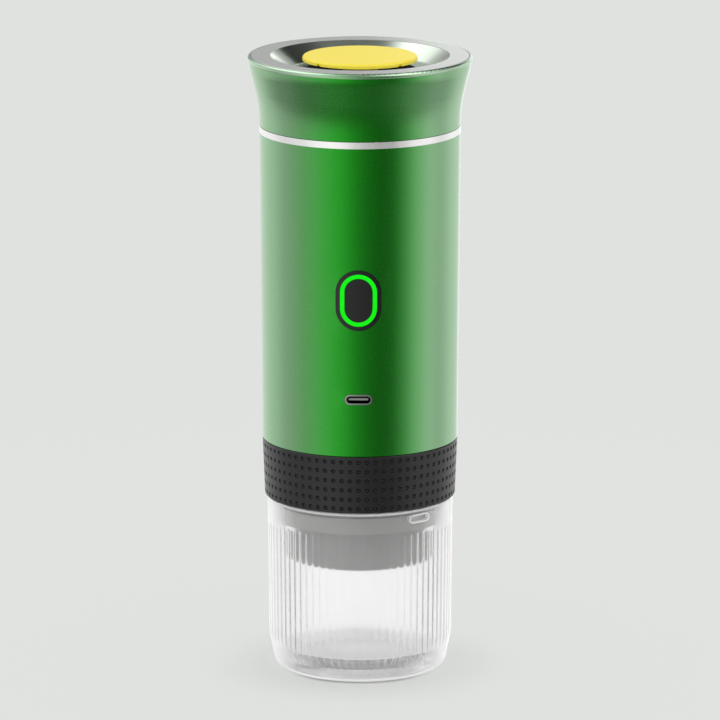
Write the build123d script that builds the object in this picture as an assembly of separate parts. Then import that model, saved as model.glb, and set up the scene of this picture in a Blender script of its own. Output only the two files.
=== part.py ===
"""Portable electric coffee maker: cup, brew head, machine body and screw lid, in millimetres.

The cup stands on the table with its base centre at the origin. Z is up and the button faces -Y.
Heights are stacked from the table upwards and radii are nested from the outside inwards.
"""
from build123d import *
import os

# Clearances
SEAT_GAP = 0.2        # between flat seats of parts that come apart
FIT_GAP = 0.05        # between pieces that are fixed to each other
SLIDE_GAP = 0.1       # radial play of a piece that slides
LIFT_GAP = 0.4        # radial play of parts that lift out

# Cup
CUP_HEIGHT = 62.0
CUP_STEP = 0.8        # from the lower edge of the grip band in to the rim
CUP_DRAFT = 0.5       # how much narrower the wall is at its lower end
CUP_WALL = 2.0
CUP_FLOOR = 4.6
CUP_SLOPE = 12.0      # height of the slope under the wall
CUP_SLOPE_WIDTH = 2.4  # how much narrower the slope gets towards the table
CUP_SLOPE_ROUND = 20.0
CUP_CORNER = 4.0
CUP_INNER_CORNER = 6.0
FLUTE_DEPTH = 0.5     # the fluted stretch stands this far inside the smooth mouth
MOUTH_DEPTH = 10.6
FOOT_RING = 7.7       # least width of the flat ring that the cup stands on
FOOT_HOLLOW = 0.8
SLOT_LENGTH = 8.4
SLOT_WIDTH = 2.4
SLOT_DROP = 3.4       # below the rim
SLOT_ANGLE = -49.0    # from +X, seen from above
LIP_ROUND = 0.6

# Brew head
GRIP_HEIGHT = 20.4
GRIP_TAPER = 0.8
GRIP_THICKNESS = 2.2
GRIP_ROUND = 0.7      # at the lower edge
GRIP_TOP_ROUND = 0.35
HEAD_WALL = 2.9
COLLAR_DEPTH = 8.2
COLLAR_GAP = 0.5
LEDGE_HEIGHT = 3.8    # from the underside of the head up to the basket's seat
SKIRT_WALL = 1.5
RING_SECTION = 1.8    # seal ring thickness
RING_DROP = 1.6       # from the underside of the head down to the seal ring
FUNNEL_DEPTH = 8.4    # from the basket's floor down to the end of the skirt
FUNNEL_LIP = 2.0
FUNNEL_PLATE = 2.4
FUNNEL_EDGE = 0.6     # thickness of the funnel at the spout
SPOUT_BORE = 2.5
SPOUT_WALL = 1.5

# Screw lugs of the body and the lid
LUG_COUNT = 3
LUG_ARC = 24.0        # degrees
LUG_HEIGHT = 2.2
LUG_ENGAGEMENT = 0.9  # how far a lug reaches into its groove
LUG_ROOT = 0.5        # how far a lug is sunk into the wall that carries it
LUG_PLAY = 0.3
BODY_LUG_RISE = 3.0   # from the underside of the base up to its lugs
LID_LUG_RISE = 2.2    # from the underside of the plug up to its lugs
BODY_LEAD = 36.0      # rise in one turn
LID_LEAD = 30.0

# Coffee basket
BASKET_WALL = 0.8
BASKET_DEPTH = 19.5
BASKET_FLANGE = 0.9
BASKET_FLANGE_WIDTH = 7.4
BASKET_LEDGE = 2.6    # ring of floor that carries the screen
SCREEN_THICKNESS = 0.5
SCREEN_HOLE = 0.6
SCREEN_PITCH = 5.2
GASKET_THICKNESS = 2.2

# Machine body
SLEEVE_RADIUS = 35.0  # at the top
SLEEVE_TAPER = 0.8    # how much narrower the sleeve is at the bottom
SLEEVE_WALL = 1.2
SLEEVE_HEIGHT = 108.4
TRIM_HEIGHT = 2.3
BASE_FLANGE = 2.4
BASE_WALL = 2.4
BASE_FLOOR = 3.0
SHOWER_MARGIN = 1.8   # from the inside of the gasket in to the plate
SHOWER_PLATE = 1.0
SHOWER_CHAMBER = 1.0
SHOWER_HOLE = 0.7
SHOWER_PITCH = 4.6
SCREW_RADIUS = 1.1
SCREW_HEAD_RADIUS = 2.0
SCREW_HEAD = 0.8
SCREW_LENGTH = 3.2
SCREW_COUNT = 3
SCREW_START = 30.0    # angle of the first screw
SCREW_INSET = 1.0     # from the edge of the plate to a screw's head

# Batteries and their holders
CELL_COUNT = 3
CELL_EDGE = 3.25      # from the outside of the holders in to the cells
CELL_PLAY = 0.2
CONTACT_INSET = 3.2   # from the edge of a cell in to its contact
CONTACT_THICKNESS = 0.3
HOLDER_HEIGHT = 8.0
HOLDER_FLOOR = 1.5
PILLAR_RADIUS = 2.6
PILLAR_ANGLES = (30, 150)
PILLAR_GRIP = 5.0     # how deep a screw goes into a pillar

# Pump
PUMP_BORE = 4.4
PUMP_WALL = 1.5
PUMP_LENGTH = 46.0
PUMP_CAP = 2.0
COIL_RADIUS = 10.5
COIL_LENGTH = 20.0
COIL_GAP = 0.8        # between the coil and the cells
PLUNGER_LENGTH = 24.0
PLUNGER_BORE = 1.5
PLUNGER_STROKE = 4.0
PLUNGER_SPRING = 5.0  # length of its spring at the end of the stroke
VALVE_HEIGHT = 5.0
VALVE_BORE = 1.0
VALVE_WALL = 1.4
SPRING_WIRE = 0.7
SPRING_TURNS = 4
SPIGOT_RADIUS = 2.0
SPIGOT_BORE = 1.2
SPIGOT_LENGTH = 7.0
HOSE_WALL = 1.2

# Circuit board, charging socket and button
BOARD_WIDTH = 34.0
BOARD_THICKNESS = 1.6
BOARD_DEPTH = 7.15    # from the inside of the sleeve in to the board's front
BOARD_NOTCH = 5.0     # how deep each holder takes the board
SWITCH_SIZE = 6.0
SWITCH_HEIGHT = 3.0
SWITCH_FLOOR = 1.0
SWITCH_BORE = 1.8
SWITCH_REACH = 1.8    # how far the switch's plunger stands out of it
LED_SIZE = (1.6, 0.8, 0.6)
USB_RISE = 17.8       # from the lower holder up to the socket
USB_WIDTH = 9.7
USB_THICKNESS = 3.6
USB_MOUTH_WIDTH = 8.34
USB_MOUTH_THICKNESS = 2.56
USB_BACK = 1.8
TONGUE_WIDTH = 6.7
TONGUE_THICKNESS = 0.7
TONGUE_LENGTH = 5.6
BUTTON_DROP = 15.7    # from the top of the upper holder down to the button
BUTTON_WIDTH = 9.9
BUTTON_HEIGHT = 15.5
BUTTON_PROUD = 0.35
BUTTON_STROKE = 0.6
LIGHT_WIDTH = 1.45
BEZEL_WIDTH = 1.4
BEZEL_PROUD = 0.15
BEZEL_FLANGE = 1.6    # how far the flange reaches behind the sleeve
BEZEL_FLANGE_DEPTH = 1.2

# Water tank
JACKET_WALL = 2.6
TANK_WALL = 0.8
TANK_DEPTH = 22.2
TANK_FLANGE = 1.6     # how far the brim reaches over the jacket
HEATER_INSET = 6.3    # from the side of the tank in to the heater
HEATER_THICKNESS = 1.8
THERMOSTAT_RADIUS = 5.0
THERMOSTAT_HEIGHT = 2.3
THERMOSTAT_INSET = 10.0  # from the edge of the heater in to the thermostat's middle
TANK_SEAL = 0.8
COLLAR_WALL = 3.2
COLLAR_HEIGHT = 11.2

# Lid
LID_HEIGHT = 24.2
LID_FLARE = 4.0       # how much wider the lid is at the rim
LID_FLARE_START = 6.3  # where the flare's straight line would meet the upright
LID_FLARE_RADIUS = 50.0
LID_SHOULDER = 3.2    # from the top of the lip down to where the flare turns upright
LID_SHOULDER_RADIUS = 12.0
LID_WALL = 1.2
LIP_HEIGHT = 1.7
LIP_ROUND = 0.8
LIP_EDGE_ROUND = 0.3
LIP_OVERHANG = 0.4
RIM_WIDTH = 7.8
PLATE_INSET = 1.1     # from the outside of the lip in to the plate
PLATE_SEAM = 0.15     # gap between the lip and the plate
PLATE_SEAT = 0.9      # width of the ledge that the plate lies on
PLATE_ROUND = 0.12
PLATE_THICKNESS = 1.2
DISH_SLOPE = 7.0      # width of the dish's sloping side
DISH_ROUND = 4.0
DISH_EDGE_ROUND = 0.6
PLUG_DEPTH = 7.0
PLUG_WALL = 2.2
PLUG_FLOOR = 2.0
PLUG_FLANGE = 2.4
LID_SEAL_WIDTH = 2.0
LID_SEAL_THICKNESS = 1.2
TOWER_WALL = 2.2
GUIDE_HEIGHT = 11.0

# Air valve in the lid
VENT_MARGIN = 4.2     # from the foot of the dish's side in to the button
VENT_THICKNESS = 1.6
VENT_ROUND = 1.0
VENT_STROKE = 2.4
VENT_FLOOR_GAP = 1.4  # left under the button at the end of its stroke
HUB_RADIUS = 6.0
HUB_LENGTH = 7.0
NOTCH_WIDTH = 1.6
NOTCH_HEIGHT = 0.8
NOTCH_ANGLES = (45, 135, 225, 315)
STEM_RADIUS = 2.0
STEM_HEAD = 1.2
STEM_HEAD_RADIUS = 3.4
STEM_SOCKET = 4.0
VENT_SEAL_RADIUS = 5.4
VENT_SEAL_THICKNESS = 1.6

# Heights, from the table upwards
head_bottom = CUP_HEIGHT + SEAT_GAP
head_top = head_bottom + GRIP_HEIGHT
ledge = head_bottom + LEDGE_HEIGHT
basket_seat = ledge + SEAT_GAP
basket_top = basket_seat + BASKET_FLANGE
basket_bottom = basket_top - BASKET_DEPTH
skirt_bottom = basket_bottom - FUNNEL_DEPTH
gasket_bottom = basket_top + SEAT_GAP
gasket_top = gasket_bottom + GASKET_THICKNESS
base_bottom = gasket_top + SEAT_GAP
body_lug = base_bottom + BODY_LUG_RISE
sleeve_bottom = head_top + SEAT_GAP
sleeve_top = sleeve_bottom + SLEEVE_HEIGHT
trim_top = sleeve_top + TRIM_HEIGHT
lid_bottom = trim_top + SEAT_GAP
lid_top = lid_bottom + LID_HEIGHT
plug_bottom = lid_bottom - PLUG_DEPTH
lid_lug = plug_bottom + LID_LUG_RISE
collar_top = lid_bottom - LID_SEAL_THICKNESS - 2 * SEAT_GAP
collar_bottom = collar_top - COLLAR_HEIGHT
tank_top = collar_bottom - TANK_SEAL
tank_bottom = tank_top - TANK_DEPTH
heater_bottom = tank_bottom - HEATER_THICKNESS
upper_holder_top = heater_bottom - THERMOSTAT_HEIGHT
upper_holder = upper_holder_top - HOLDER_HEIGHT
lower_holder = sleeve_bottom + BASE_FLANGE
lower_holder_top = lower_holder + HOLDER_HEIGHT
cell_bottom = lower_holder + HOLDER_FLOOR + CONTACT_THICKNESS
cell_top = upper_holder_top - HOLDER_FLOOR - CONTACT_THICKNESS
dish_floor = lid_top - VENT_THICKNESS - VENT_STROKE - VENT_FLOOR_GAP
pump_bottom = base_bottom + BASE_FLOOR
pump_top = pump_bottom + PUMP_LENGTH
valve_top = pump_bottom + VALVE_HEIGHT
pump_spring_top = valve_top + FIT_GAP + PLUNGER_SPRING + PLUNGER_STROKE
button_height = upper_holder_top - BUTTON_DROP
usb_height = lower_holder + USB_RISE

# Radii, from the outside inwards
sleeve_low_radius = SLEEVE_RADIUS - SLEEVE_TAPER
core_radius = sleeve_low_radius - SLEEVE_WALL - FIT_GAP
cup_radius = sleeve_low_radius - GRIP_TAPER - CUP_STEP
cup_mouth_radius = cup_radius - CUP_WALL
collar_radius = cup_mouth_radius - COLLAR_GAP
ring_radius = cup_mouth_radius - SLIDE_GAP - RING_SECTION / 2
grip_inner_radius = sleeve_low_radius - GRIP_THICKNESS
head_radius = grip_inner_radius - FIT_GAP
head_bore = head_radius - HEAD_WALL
base_radius = head_bore - LIFT_GAP
basket_flange_radius = head_bore - LIFT_GAP
basket_radius = basket_flange_radius - BASKET_FLANGE_WIDTH
shower_radius = basket_radius - SHOWER_MARGIN
skirt_bore = basket_radius + LIFT_GAP
skirt_radius = skirt_bore + SKIRT_WALL
basket_bore = basket_radius - BASKET_WALL
pump_radius = PUMP_BORE + PUMP_WALL
valve_radius = VALVE_BORE + VALVE_WALL
hose_radius = SPIGOT_RADIUS + FIT_GAP + HOSE_WALL
cell_radius = (core_radius - CELL_EDGE - COIL_RADIUS - COIL_GAP) / 2
cell_ring = COIL_RADIUS + COIL_GAP + cell_radius
contact_radius = cell_radius - CONTACT_INSET
board_front = core_radius - BOARD_DEPTH
pillar_reach = (base_radius - BASE_WALL + core_radius) / 2
screw_reach = shower_radius - SCREW_HEAD_RADIUS - SCREW_INSET
tank_outer = core_radius - JACKET_WALL - FIT_GAP
tank_inner = tank_outer - TANK_WALL
heater_radius = tank_outer - HEATER_INSET
collar_outer = core_radius - FIT_GAP
collar_bore = collar_outer - COLLAR_WALL
plug_radius = collar_bore - LIFT_GAP
lid_radius = SLEEVE_RADIUS
rim_radius = lid_radius + LID_FLARE
plate_radius = rim_radius - PLATE_INSET
plate_seat = lid_top - PLATE_THICKNESS
dish_edge = rim_radius - RIM_WIDTH
dish_low_radius = dish_edge - DISH_SLOPE
vent_radius = dish_low_radius - VENT_MARGIN
tower_bore = HUB_RADIUS + LIFT_GAP


def turned(*corners):
    """Solid turned about Z from (radius, height) corners; a third number rounds that corner."""
    points = [corner[:2] for corner in corners]
    rounds = [corner[2] if len(corner) > 2 else 0 for corner in corners]
    outline = FilletPolyline(*points, radius=rounds, close=True)
    return revolve(Plane.XZ * make_face(outline), Axis.Z)


def tube(outer, inner, bottom, top):
    """Round tube on the Z axis."""
    return turned((inner, bottom), (outer, bottom), (outer, top), (inner, top))


def rod(radius, bottom, top):
    """Round rod on the Z axis."""
    return Pos(0, 0, bottom) * Cylinder(radius, top - bottom, align=(Align.CENTER, Align.CENTER, Align.MIN))


def around(angles, reach, shape):
    """Copies of a shape that lies on the Z axis, moved out to a reach at each angle."""
    return [Rot(0, 0, angle) * Pos(reach, 0, 0) * shape for angle in angles]


def even_angles(count, start=90.0):
    """Angles of a count of like pieces, evenly round the axis."""
    return [start + 360.0 * step / count for step in range(count)]


def hole_grid(radius, pitch, hole, bottom, top):
    """Upright holes on a triangular grid inside a radius."""
    count = 2 * int(2 * radius / pitch) + 1
    grid = HexLocations(pitch / 2, count, count)
    spots = [spot.position for spot in grid if spot.position.length < radius - 2 * hole]
    return [Pos(spot.X, spot.Y, 0) * rod(hole, bottom, top) for spot in spots]


def coil_spring(radius, wire, bottom, top, turns):
    """Compression spring standing on the Z axis."""
    rise = top - bottom - wire
    path = Pos(0, 0, bottom + wire / 2) * Helix(rise / turns, rise, radius)
    section = Plane(path @ 0, z_dir=path % 0) * Circle(wire / 2)
    return sweep(section, path, is_frenet=True)


def front_bar(profile, back, height, length):
    """Bar with a profile seen from the front, from a back face towards -Y."""
    face = Plane((0, -back, height), x_dir=(1, 0, 0), z_dir=(0, -1, 0)) * profile
    return extrude(face, length)


def upright_pill(width, height):
    """Upright pill outline."""
    return SlotOverall(height, width, rotation=90)


def helical_bar(inner, outer, height, bottom, arc, lead):
    """Bar of rectangular section that climbs round the Z axis from +X, by a lead each turn."""
    path = Pos(0, 0, bottom) * Helix(lead, lead * arc / 360, (inner + outer) / 2)
    section = Plane(path @ 0, x_dir=(1, 0, 0), z_dir=path % 0) * Rectangle(outer - inner, height)
    return sweep(section, path, is_frenet=True)


def screw_lugs(wall, bore, bottom, lead):
    """Lugs on a round wall that turn in the grooves of the bore round it."""
    lug = helical_bar(wall - LUG_ROOT, bore + LUG_ENGAGEMENT, LUG_HEIGHT, bottom, LUG_ARC, lead)
    return around(even_angles(LUG_COUNT), 0, lug)


def screw_grooves(bore, bottom, top, lead):
    """Grooves in a bore for such lugs, open at the top."""
    lead_in = 360 * 2 * LUG_PLAY / lead
    arc = 360 * (top - bottom + LUG_HEIGHT) / lead + lead_in
    outer = bore + LUG_ENGAGEMENT + LUG_PLAY
    height = LUG_HEIGHT + 2 * LUG_PLAY
    start = bottom - 2 * LUG_PLAY
    groove = helical_bar(bore - LUG_ROOT, outer, height, start, arc, lead)
    return around([angle - lead_in for angle in even_angles(LUG_COUNT)], 0, groove)


def sleeve_form(proud):
    """Solid form of the sleeve's outside, standing proud of it by an amount."""
    return turned(
        (0, sleeve_bottom),
        (sleeve_low_radius + proud, sleeve_bottom),
        (SLEEVE_RADIUS + proud, sleeve_top),
        (0, sleeve_top),
    )


def make_cup():
    """Clear cup with a rounded base, a hollow foot and a vent slot under the rim."""
    wall_low = cup_radius - CUP_DRAFT
    foot_radius = wall_low - CUP_SLOPE_WIDTH - CUP_CORNER - FOOT_RING
    flute_radius = cup_mouth_radius - FLUTE_DEPTH
    flute_low = flute_radius - CUP_DRAFT
    mouth_bottom = CUP_HEIGHT - MOUTH_DEPTH
    cup = turned(
        (0, FOOT_HOLLOW),
        (foot_radius, FOOT_HOLLOW),
        (foot_radius, 0),
        (wall_low - CUP_SLOPE_WIDTH, 0, CUP_CORNER),
        (wall_low, CUP_SLOPE, CUP_SLOPE_ROUND),
        (cup_radius, CUP_HEIGHT, LIP_ROUND),
        (cup_mouth_radius, CUP_HEIGHT, LIP_ROUND),
        (cup_mouth_radius, mouth_bottom),
        (flute_radius, mouth_bottom - FLUTE_DEPTH),
        (flute_low, CUP_FLOOR, CUP_INNER_CORNER),
        (0, CUP_FLOOR),
    )
    slot = extrude(Plane.YZ * SlotOverall(SLOT_LENGTH, SLOT_WIDTH), 2 * CUP_WALL, both=True)
    return cup - around([SLOT_ANGLE], cup_radius, Pos(0, 0, CUP_HEIGHT - SLOT_DROP) * slot)


def make_brew_head_shell():
    """Moulded head: socket for the base, ledge for the basket, collar and skirt inside the cup."""
    collar_bottom_z = head_bottom - COLLAR_DEPTH
    shell = turned(
        (skirt_bore - FUNNEL_LIP, skirt_bottom),
        (skirt_radius, skirt_bottom),
        (skirt_radius, collar_bottom_z),
        (collar_radius, collar_bottom_z),
        (collar_radius, head_bottom),
        (head_radius, head_bottom),
        (head_radius, head_top),
        (head_bore, head_top),
        (head_bore, ledge),
        (skirt_bore, ledge),
        (skirt_bore, skirt_bottom + FUNNEL_LIP),
        (skirt_bore - FUNNEL_LIP, skirt_bottom + FUNNEL_LIP),
    )
    groove_middle = head_bottom - RING_DROP
    groove = tube(
        cup_mouth_radius,
        ring_radius - RING_SECTION / 2 - FIT_GAP,
        groove_middle - RING_SECTION / 2 - FIT_GAP,
        groove_middle + RING_SECTION / 2 + FIT_GAP,
    )
    return shell - groove - screw_grooves(head_bore, body_lug, head_top, BODY_LEAD)


def make_grip_sleeve():
    """Grip band round the head, slightly narrower at the bottom."""
    low_radius = sleeve_low_radius - GRIP_TAPER
    return turned(
        (grip_inner_radius, head_bottom),
        (low_radius, head_bottom, GRIP_ROUND),
        (sleeve_low_radius, head_top, GRIP_TOP_ROUND),
        (grip_inner_radius, head_top),
    )


def make_cup_seal():
    """Seal ring in the collar's groove."""
    return Pos(0, 0, head_bottom - RING_DROP) * Torus(ring_radius, RING_SECTION / 2)


def make_outlet_funnel():
    """Funnel in the foot of the skirt, with a short spout."""
    plate_bottom = skirt_bottom + FUNNEL_LIP
    plate_top = plate_bottom + FUNNEL_PLATE
    plate_radius = skirt_bore - FIT_GAP
    spout_radius = SPOUT_BORE + SPOUT_WALL
    return turned(
        (SPOUT_BORE, skirt_bottom),
        (spout_radius, skirt_bottom),
        (spout_radius, plate_bottom),
        (plate_radius, plate_bottom),
        (plate_radius, plate_top),
        (plate_radius - SKIRT_WALL, plate_top),
        (SPOUT_BORE, plate_bottom + FUNNEL_EDGE),
    )


def make_filter_basket():
    """Steel basket that hangs by its flange, with a ring of floor under the screen."""
    floor_top = basket_bottom + BASKET_WALL
    return turned(
        (basket_bore - BASKET_LEDGE, basket_bottom),
        (basket_radius, basket_bottom),
        (basket_radius, basket_seat),
        (basket_flange_radius, basket_seat),
        (basket_flange_radius, basket_top),
        (basket_bore, basket_top),
        (basket_bore, floor_top),
        (basket_bore - BASKET_LEDGE, floor_top),
    )


def make_filter_screen():
    """Perforated disc on the basket's floor."""
    bottom = basket_bottom + BASKET_WALL
    top = bottom + SCREEN_THICKNESS
    disc = rod(basket_bore - FIT_GAP, bottom, top)
    return disc - hole_grid(basket_bore - BASKET_LEDGE, SCREEN_PITCH, SCREEN_HOLE, bottom, top)


def make_head_gasket():
    """Soft ring between the basket's flange and the base."""
    return tube(basket_flange_radius, basket_radius, gasket_bottom, gasket_top)


def make_body_sleeve():
    """Tapered metal sleeve with openings for the button and the charging socket."""
    form = turned(
        (sleeve_low_radius - SLEEVE_WALL, sleeve_bottom),
        (sleeve_low_radius, sleeve_bottom),
        (SLEEVE_RADIUS, sleeve_top),
        (SLEEVE_RADIUS - SLEEVE_WALL, sleeve_top),
    )
    button_hole = front_bar(bezel_outline(SLIDE_GAP), board_front, button_height, SLEEVE_RADIUS)
    usb_slot = SlotOverall(USB_WIDTH + 2 * SLIDE_GAP, USB_THICKNESS + 2 * SLIDE_GAP)
    return form - button_hole - front_bar(usb_slot, board_front, usb_height, SLEEVE_RADIUS)


def make_trim_ring():
    """Bright ring between the sleeve and the lid."""
    return tube(SLEEVE_RADIUS, collar_outer + FIT_GAP, sleeve_top, trim_top)


def screw_bore(bottom, top):
    """Bore for a screw."""
    return rod(SCREW_RADIUS + FIT_GAP, bottom, top)


def shower_spots(shape):
    """Copies of a shape at each screw of the shower plate."""
    return around(even_angles(SCREW_COUNT, SCREW_START), screw_reach, shape)


def pillar_spots(shape):
    """Copies of a shape at each pillar."""
    return around(PILLAR_ANGLES, pillar_reach, shape)


def make_base_housing():
    """Moulded base: socket plug, flange under the sleeve, pump boss and water chamber."""
    boss_radius = pump_radius + BASE_WALL
    base = turned(
        (SPIGOT_RADIUS, base_bottom + SHOWER_CHAMBER),
        (shower_radius - BASE_WALL, base_bottom + SHOWER_CHAMBER),
        (shower_radius - BASE_WALL, base_bottom),
        (base_radius, base_bottom),
        (base_radius, sleeve_bottom),
        (core_radius, sleeve_bottom),
        (core_radius, lower_holder),
        (base_radius - BASE_WALL, lower_holder),
        (base_radius - BASE_WALL, pump_bottom),
        (boss_radius, pump_bottom),
        (boss_radius, pump_bottom + BASE_FLOOR),
        (pump_radius + FIT_GAP, pump_bottom + BASE_FLOOR),
        (pump_radius + FIT_GAP, pump_bottom),
        (SPIGOT_RADIUS, pump_bottom),
    )
    bosses = shower_spots(rod(SCREW_HEAD_RADIUS, base_bottom, pump_bottom + SCREW_LENGTH))
    bores = shower_spots(screw_bore(base_bottom, base_bottom + SCREW_LENGTH))
    lugs = screw_lugs(base_radius, head_bore, body_lug, BODY_LEAD)
    return base + bosses + lugs - bores - pillar_bores(sleeve_bottom, lower_holder, sleeve_bottom)


def make_shower_plate():
    """Perforated plate that spreads the water over the coffee."""
    bottom = base_bottom - SHOWER_PLATE
    plate = rod(shower_radius, bottom, base_bottom)
    bores = shower_spots(screw_bore(bottom, base_bottom))
    inner_radius = screw_reach - SCREW_HEAD_RADIUS
    return plate - bores - hole_grid(inner_radius, SHOWER_PITCH, SHOWER_HOLE, bottom, base_bottom)


def screw(bottom, length):
    """Screw with its head down, the head's upper face at a height."""
    return rod(SCREW_HEAD_RADIUS, bottom - SCREW_HEAD, bottom) + rod(SCREW_RADIUS, bottom, bottom + length)


def make_shower_screws():
    """Screws that hold the shower plate."""
    return shower_spots(screw(base_bottom - SHOWER_PLATE, SHOWER_PLATE + SCREW_LENGTH - FIT_GAP))


def holder_plan(bottom, top):
    """Round holder with a flat front and a notch that takes the board."""
    disc = rod(core_radius - FIT_GAP, bottom, top)
    front = Pos(0, -board_front - core_radius, (bottom + top) / 2)
    return disc - front * Box(2 * core_radius, 2 * core_radius, 2 * (top - bottom))


def pillar_bores(bottom, top, head_face):
    """Screw bores at the pillars, with a recess for the head at one face."""
    recess = Pos(0, 0, head_face) * Cylinder(SCREW_HEAD_RADIUS + FIT_GAP, 2 * SCREW_HEAD)
    return pillar_spots(screw_bore(bottom, top) + recess)


def board_notch(bottom, top):
    """Space that the board takes from a holder."""
    depth = BOARD_THICKNESS + FIT_GAP
    place = Pos(0, -board_front + depth / 2, (bottom + top) / 2)
    return place * Box(BOARD_WIDTH + 2 * FIT_GAP, depth, top - bottom)


def cell_spots(shape):
    """Copies of a shape at each battery cell's axis."""
    return around(even_angles(CELL_COUNT), cell_ring, shape)


def make_battery_holder_lower():
    """Lower holder: pockets for the cells and a bore for the pump."""
    floor_top = lower_holder + HOLDER_FLOOR
    pockets = cell_spots(rod(cell_radius + CELL_PLAY, floor_top, lower_holder_top))
    bore = rod(pump_radius + FIT_GAP, lower_holder, lower_holder_top)
    notch = board_notch(lower_holder_top - BOARD_NOTCH, lower_holder_top)
    screw_bores = pillar_spots(screw_bore(lower_holder, lower_holder_top))
    return holder_plan(lower_holder, lower_holder_top) - pockets - bore - notch - screw_bores


def make_battery_holder_upper():
    """Upper holder: pockets for the cells and a bore for the hose."""
    roof_bottom = upper_holder_top - HOLDER_FLOOR
    pockets = cell_spots(rod(cell_radius + CELL_PLAY, upper_holder, roof_bottom))
    bore = rod(hose_radius + SLIDE_GAP, upper_holder, upper_holder_top)
    notch = board_notch(upper_holder, upper_holder + BOARD_NOTCH)
    screw_bores = pillar_bores(upper_holder, upper_holder_top, upper_holder_top)
    return holder_plan(upper_holder, upper_holder_top) - pockets - bore - notch - screw_bores


def make_holder_pillars():
    """Posts that keep the two holders apart, bored at both ends for their screws."""
    post = rod(PILLAR_RADIUS, lower_holder_top, upper_holder)
    low_bore = screw_bore(lower_holder_top, lower_holder_top + PILLAR_GRIP)
    high_bore = screw_bore(upper_holder - PILLAR_GRIP, upper_holder)
    return pillar_spots(post - low_bore - high_bore)


def make_pillar_screws():
    """Screws through the base and both holders into the pillars."""
    low_seat = sleeve_bottom + SCREW_HEAD
    high_seat = upper_holder_top - SCREW_HEAD
    low_length = lower_holder_top - low_seat + PILLAR_GRIP - FIT_GAP
    high_length = high_seat - upper_holder + PILLAR_GRIP - FIT_GAP
    high_screw = Pos(0, 0, high_seat) * Rot(180, 0, 0) * screw(0, high_length)
    return pillar_spots(screw(low_seat, low_length)) + pillar_spots(high_screw)


def make_battery_cells():
    """Battery cells, one solid each."""
    return cell_spots(rod(cell_radius, cell_bottom, cell_top))


def make_cell_contacts():
    """Contact discs under and over each cell."""
    low = rod(contact_radius, cell_bottom - CONTACT_THICKNESS, cell_bottom)
    high = rod(contact_radius, cell_top, cell_top + CONTACT_THICKNESS)
    return cell_spots(low) + cell_spots(high)


def make_pump_housing():
    """Pump barrel with a closed top and an inlet spigot."""
    outlet = valve_radius + FIT_GAP
    return turned(
        (outlet, pump_bottom),
        (pump_radius, pump_bottom),
        (pump_radius, pump_top),
        (SPIGOT_RADIUS, pump_top),
        (SPIGOT_RADIUS, pump_top + SPIGOT_LENGTH),
        (SPIGOT_BORE, pump_top + SPIGOT_LENGTH),
        (SPIGOT_BORE, pump_top - PUMP_CAP),
        (PUMP_BORE, pump_top - PUMP_CAP),
        (PUMP_BORE, valve_top),
        (outlet, valve_top),
    )


def make_outlet_valve():
    """Rubber valve in the pump's outlet."""
    return tube(valve_radius, VALVE_BORE, pump_bottom, valve_top)


def make_pump_coil():
    """Winding round the pump barrel, standing on the lower holder."""
    return tube(COIL_RADIUS, pump_radius + FIT_GAP, lower_holder_top, lower_holder_top + COIL_LENGTH)


def make_pump_spring():
    """Spring under the plunger."""
    radius = (PLUNGER_BORE + PUMP_BORE) / 2
    bottom = valve_top + FIT_GAP
    return coil_spring(radius, SPRING_WIRE, bottom, pump_spring_top, SPRING_TURNS)


def make_pump_plunger():
    """Hollow plunger that the coil pulls down against the spring."""
    bottom = pump_spring_top + FIT_GAP
    return tube(PUMP_BORE - SLIDE_GAP, PLUNGER_BORE, bottom, bottom + PLUNGER_LENGTH)


def outlet_spigot_bottom():
    """Height of the lower end of the tank's outlet."""
    return tank_bottom - HEATER_THICKNESS - THERMOSTAT_HEIGHT - SPIGOT_LENGTH


def make_tank_outlet():
    """Outlet tube under the middle of the tank."""
    return tube(SPIGOT_RADIUS, SPIGOT_BORE, outlet_spigot_bottom(), tank_bottom)


def make_suction_hose():
    """Soft hose from the tank's outlet to the pump's inlet."""
    return tube(hose_radius, SPIGOT_RADIUS + FIT_GAP, pump_top, upper_holder_top)


def make_main_board():
    """Circuit board behind the button and the charging socket."""
    bottom = lower_holder_top - BOARD_NOTCH
    top = upper_holder + BOARD_NOTCH
    place = Pos(0, -board_front + BOARD_THICKNESS / 2, (bottom + top) / 2)
    return place * Box(BOARD_WIDTH, BOARD_THICKNESS, top - bottom)


def make_tact_switch():
    """Switch body on the board, behind the button."""
    body = front_bar(Rectangle(SWITCH_SIZE, SWITCH_SIZE), board_front, button_height, SWITCH_HEIGHT)
    back = board_front + SWITCH_FLOOR
    return body - front_bar(Circle(SWITCH_BORE), back, button_height, SWITCH_HEIGHT)


def button_back():
    """Distance of the button's back face from the axis."""
    return board_front + SWITCH_HEIGHT + SWITCH_REACH


def make_switch_plunger():
    """Plunger of the switch, which the button pushes."""
    back = board_front + SWITCH_FLOOR + BUTTON_STROKE + SLIDE_GAP
    profile = Circle(SWITCH_BORE - SLIDE_GAP)
    return front_bar(profile, back, button_height, button_back() - back)


def light_outline(play):
    """Outline of the light ring, grown by a play."""
    growth = 2 * (LIGHT_WIDTH + play)
    return upright_pill(BUTTON_WIDTH + growth, BUTTON_HEIGHT + growth)


def bezel_outline(play):
    """Outline of the bezel, grown by a play."""
    growth = 2 * (LIGHT_WIDTH + BEZEL_WIDTH + play)
    return upright_pill(BUTTON_WIDTH + growth, BUTTON_HEIGHT + growth)


def make_power_button():
    """Pill button, slightly proud of the sleeve."""
    profile = upright_pill(BUTTON_WIDTH - 2 * SLIDE_GAP, BUTTON_HEIGHT - 2 * SLIDE_GAP)
    bar = front_bar(profile, button_back(), button_height, SLEEVE_RADIUS)
    return bar & sleeve_form(BUTTON_PROUD)


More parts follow.
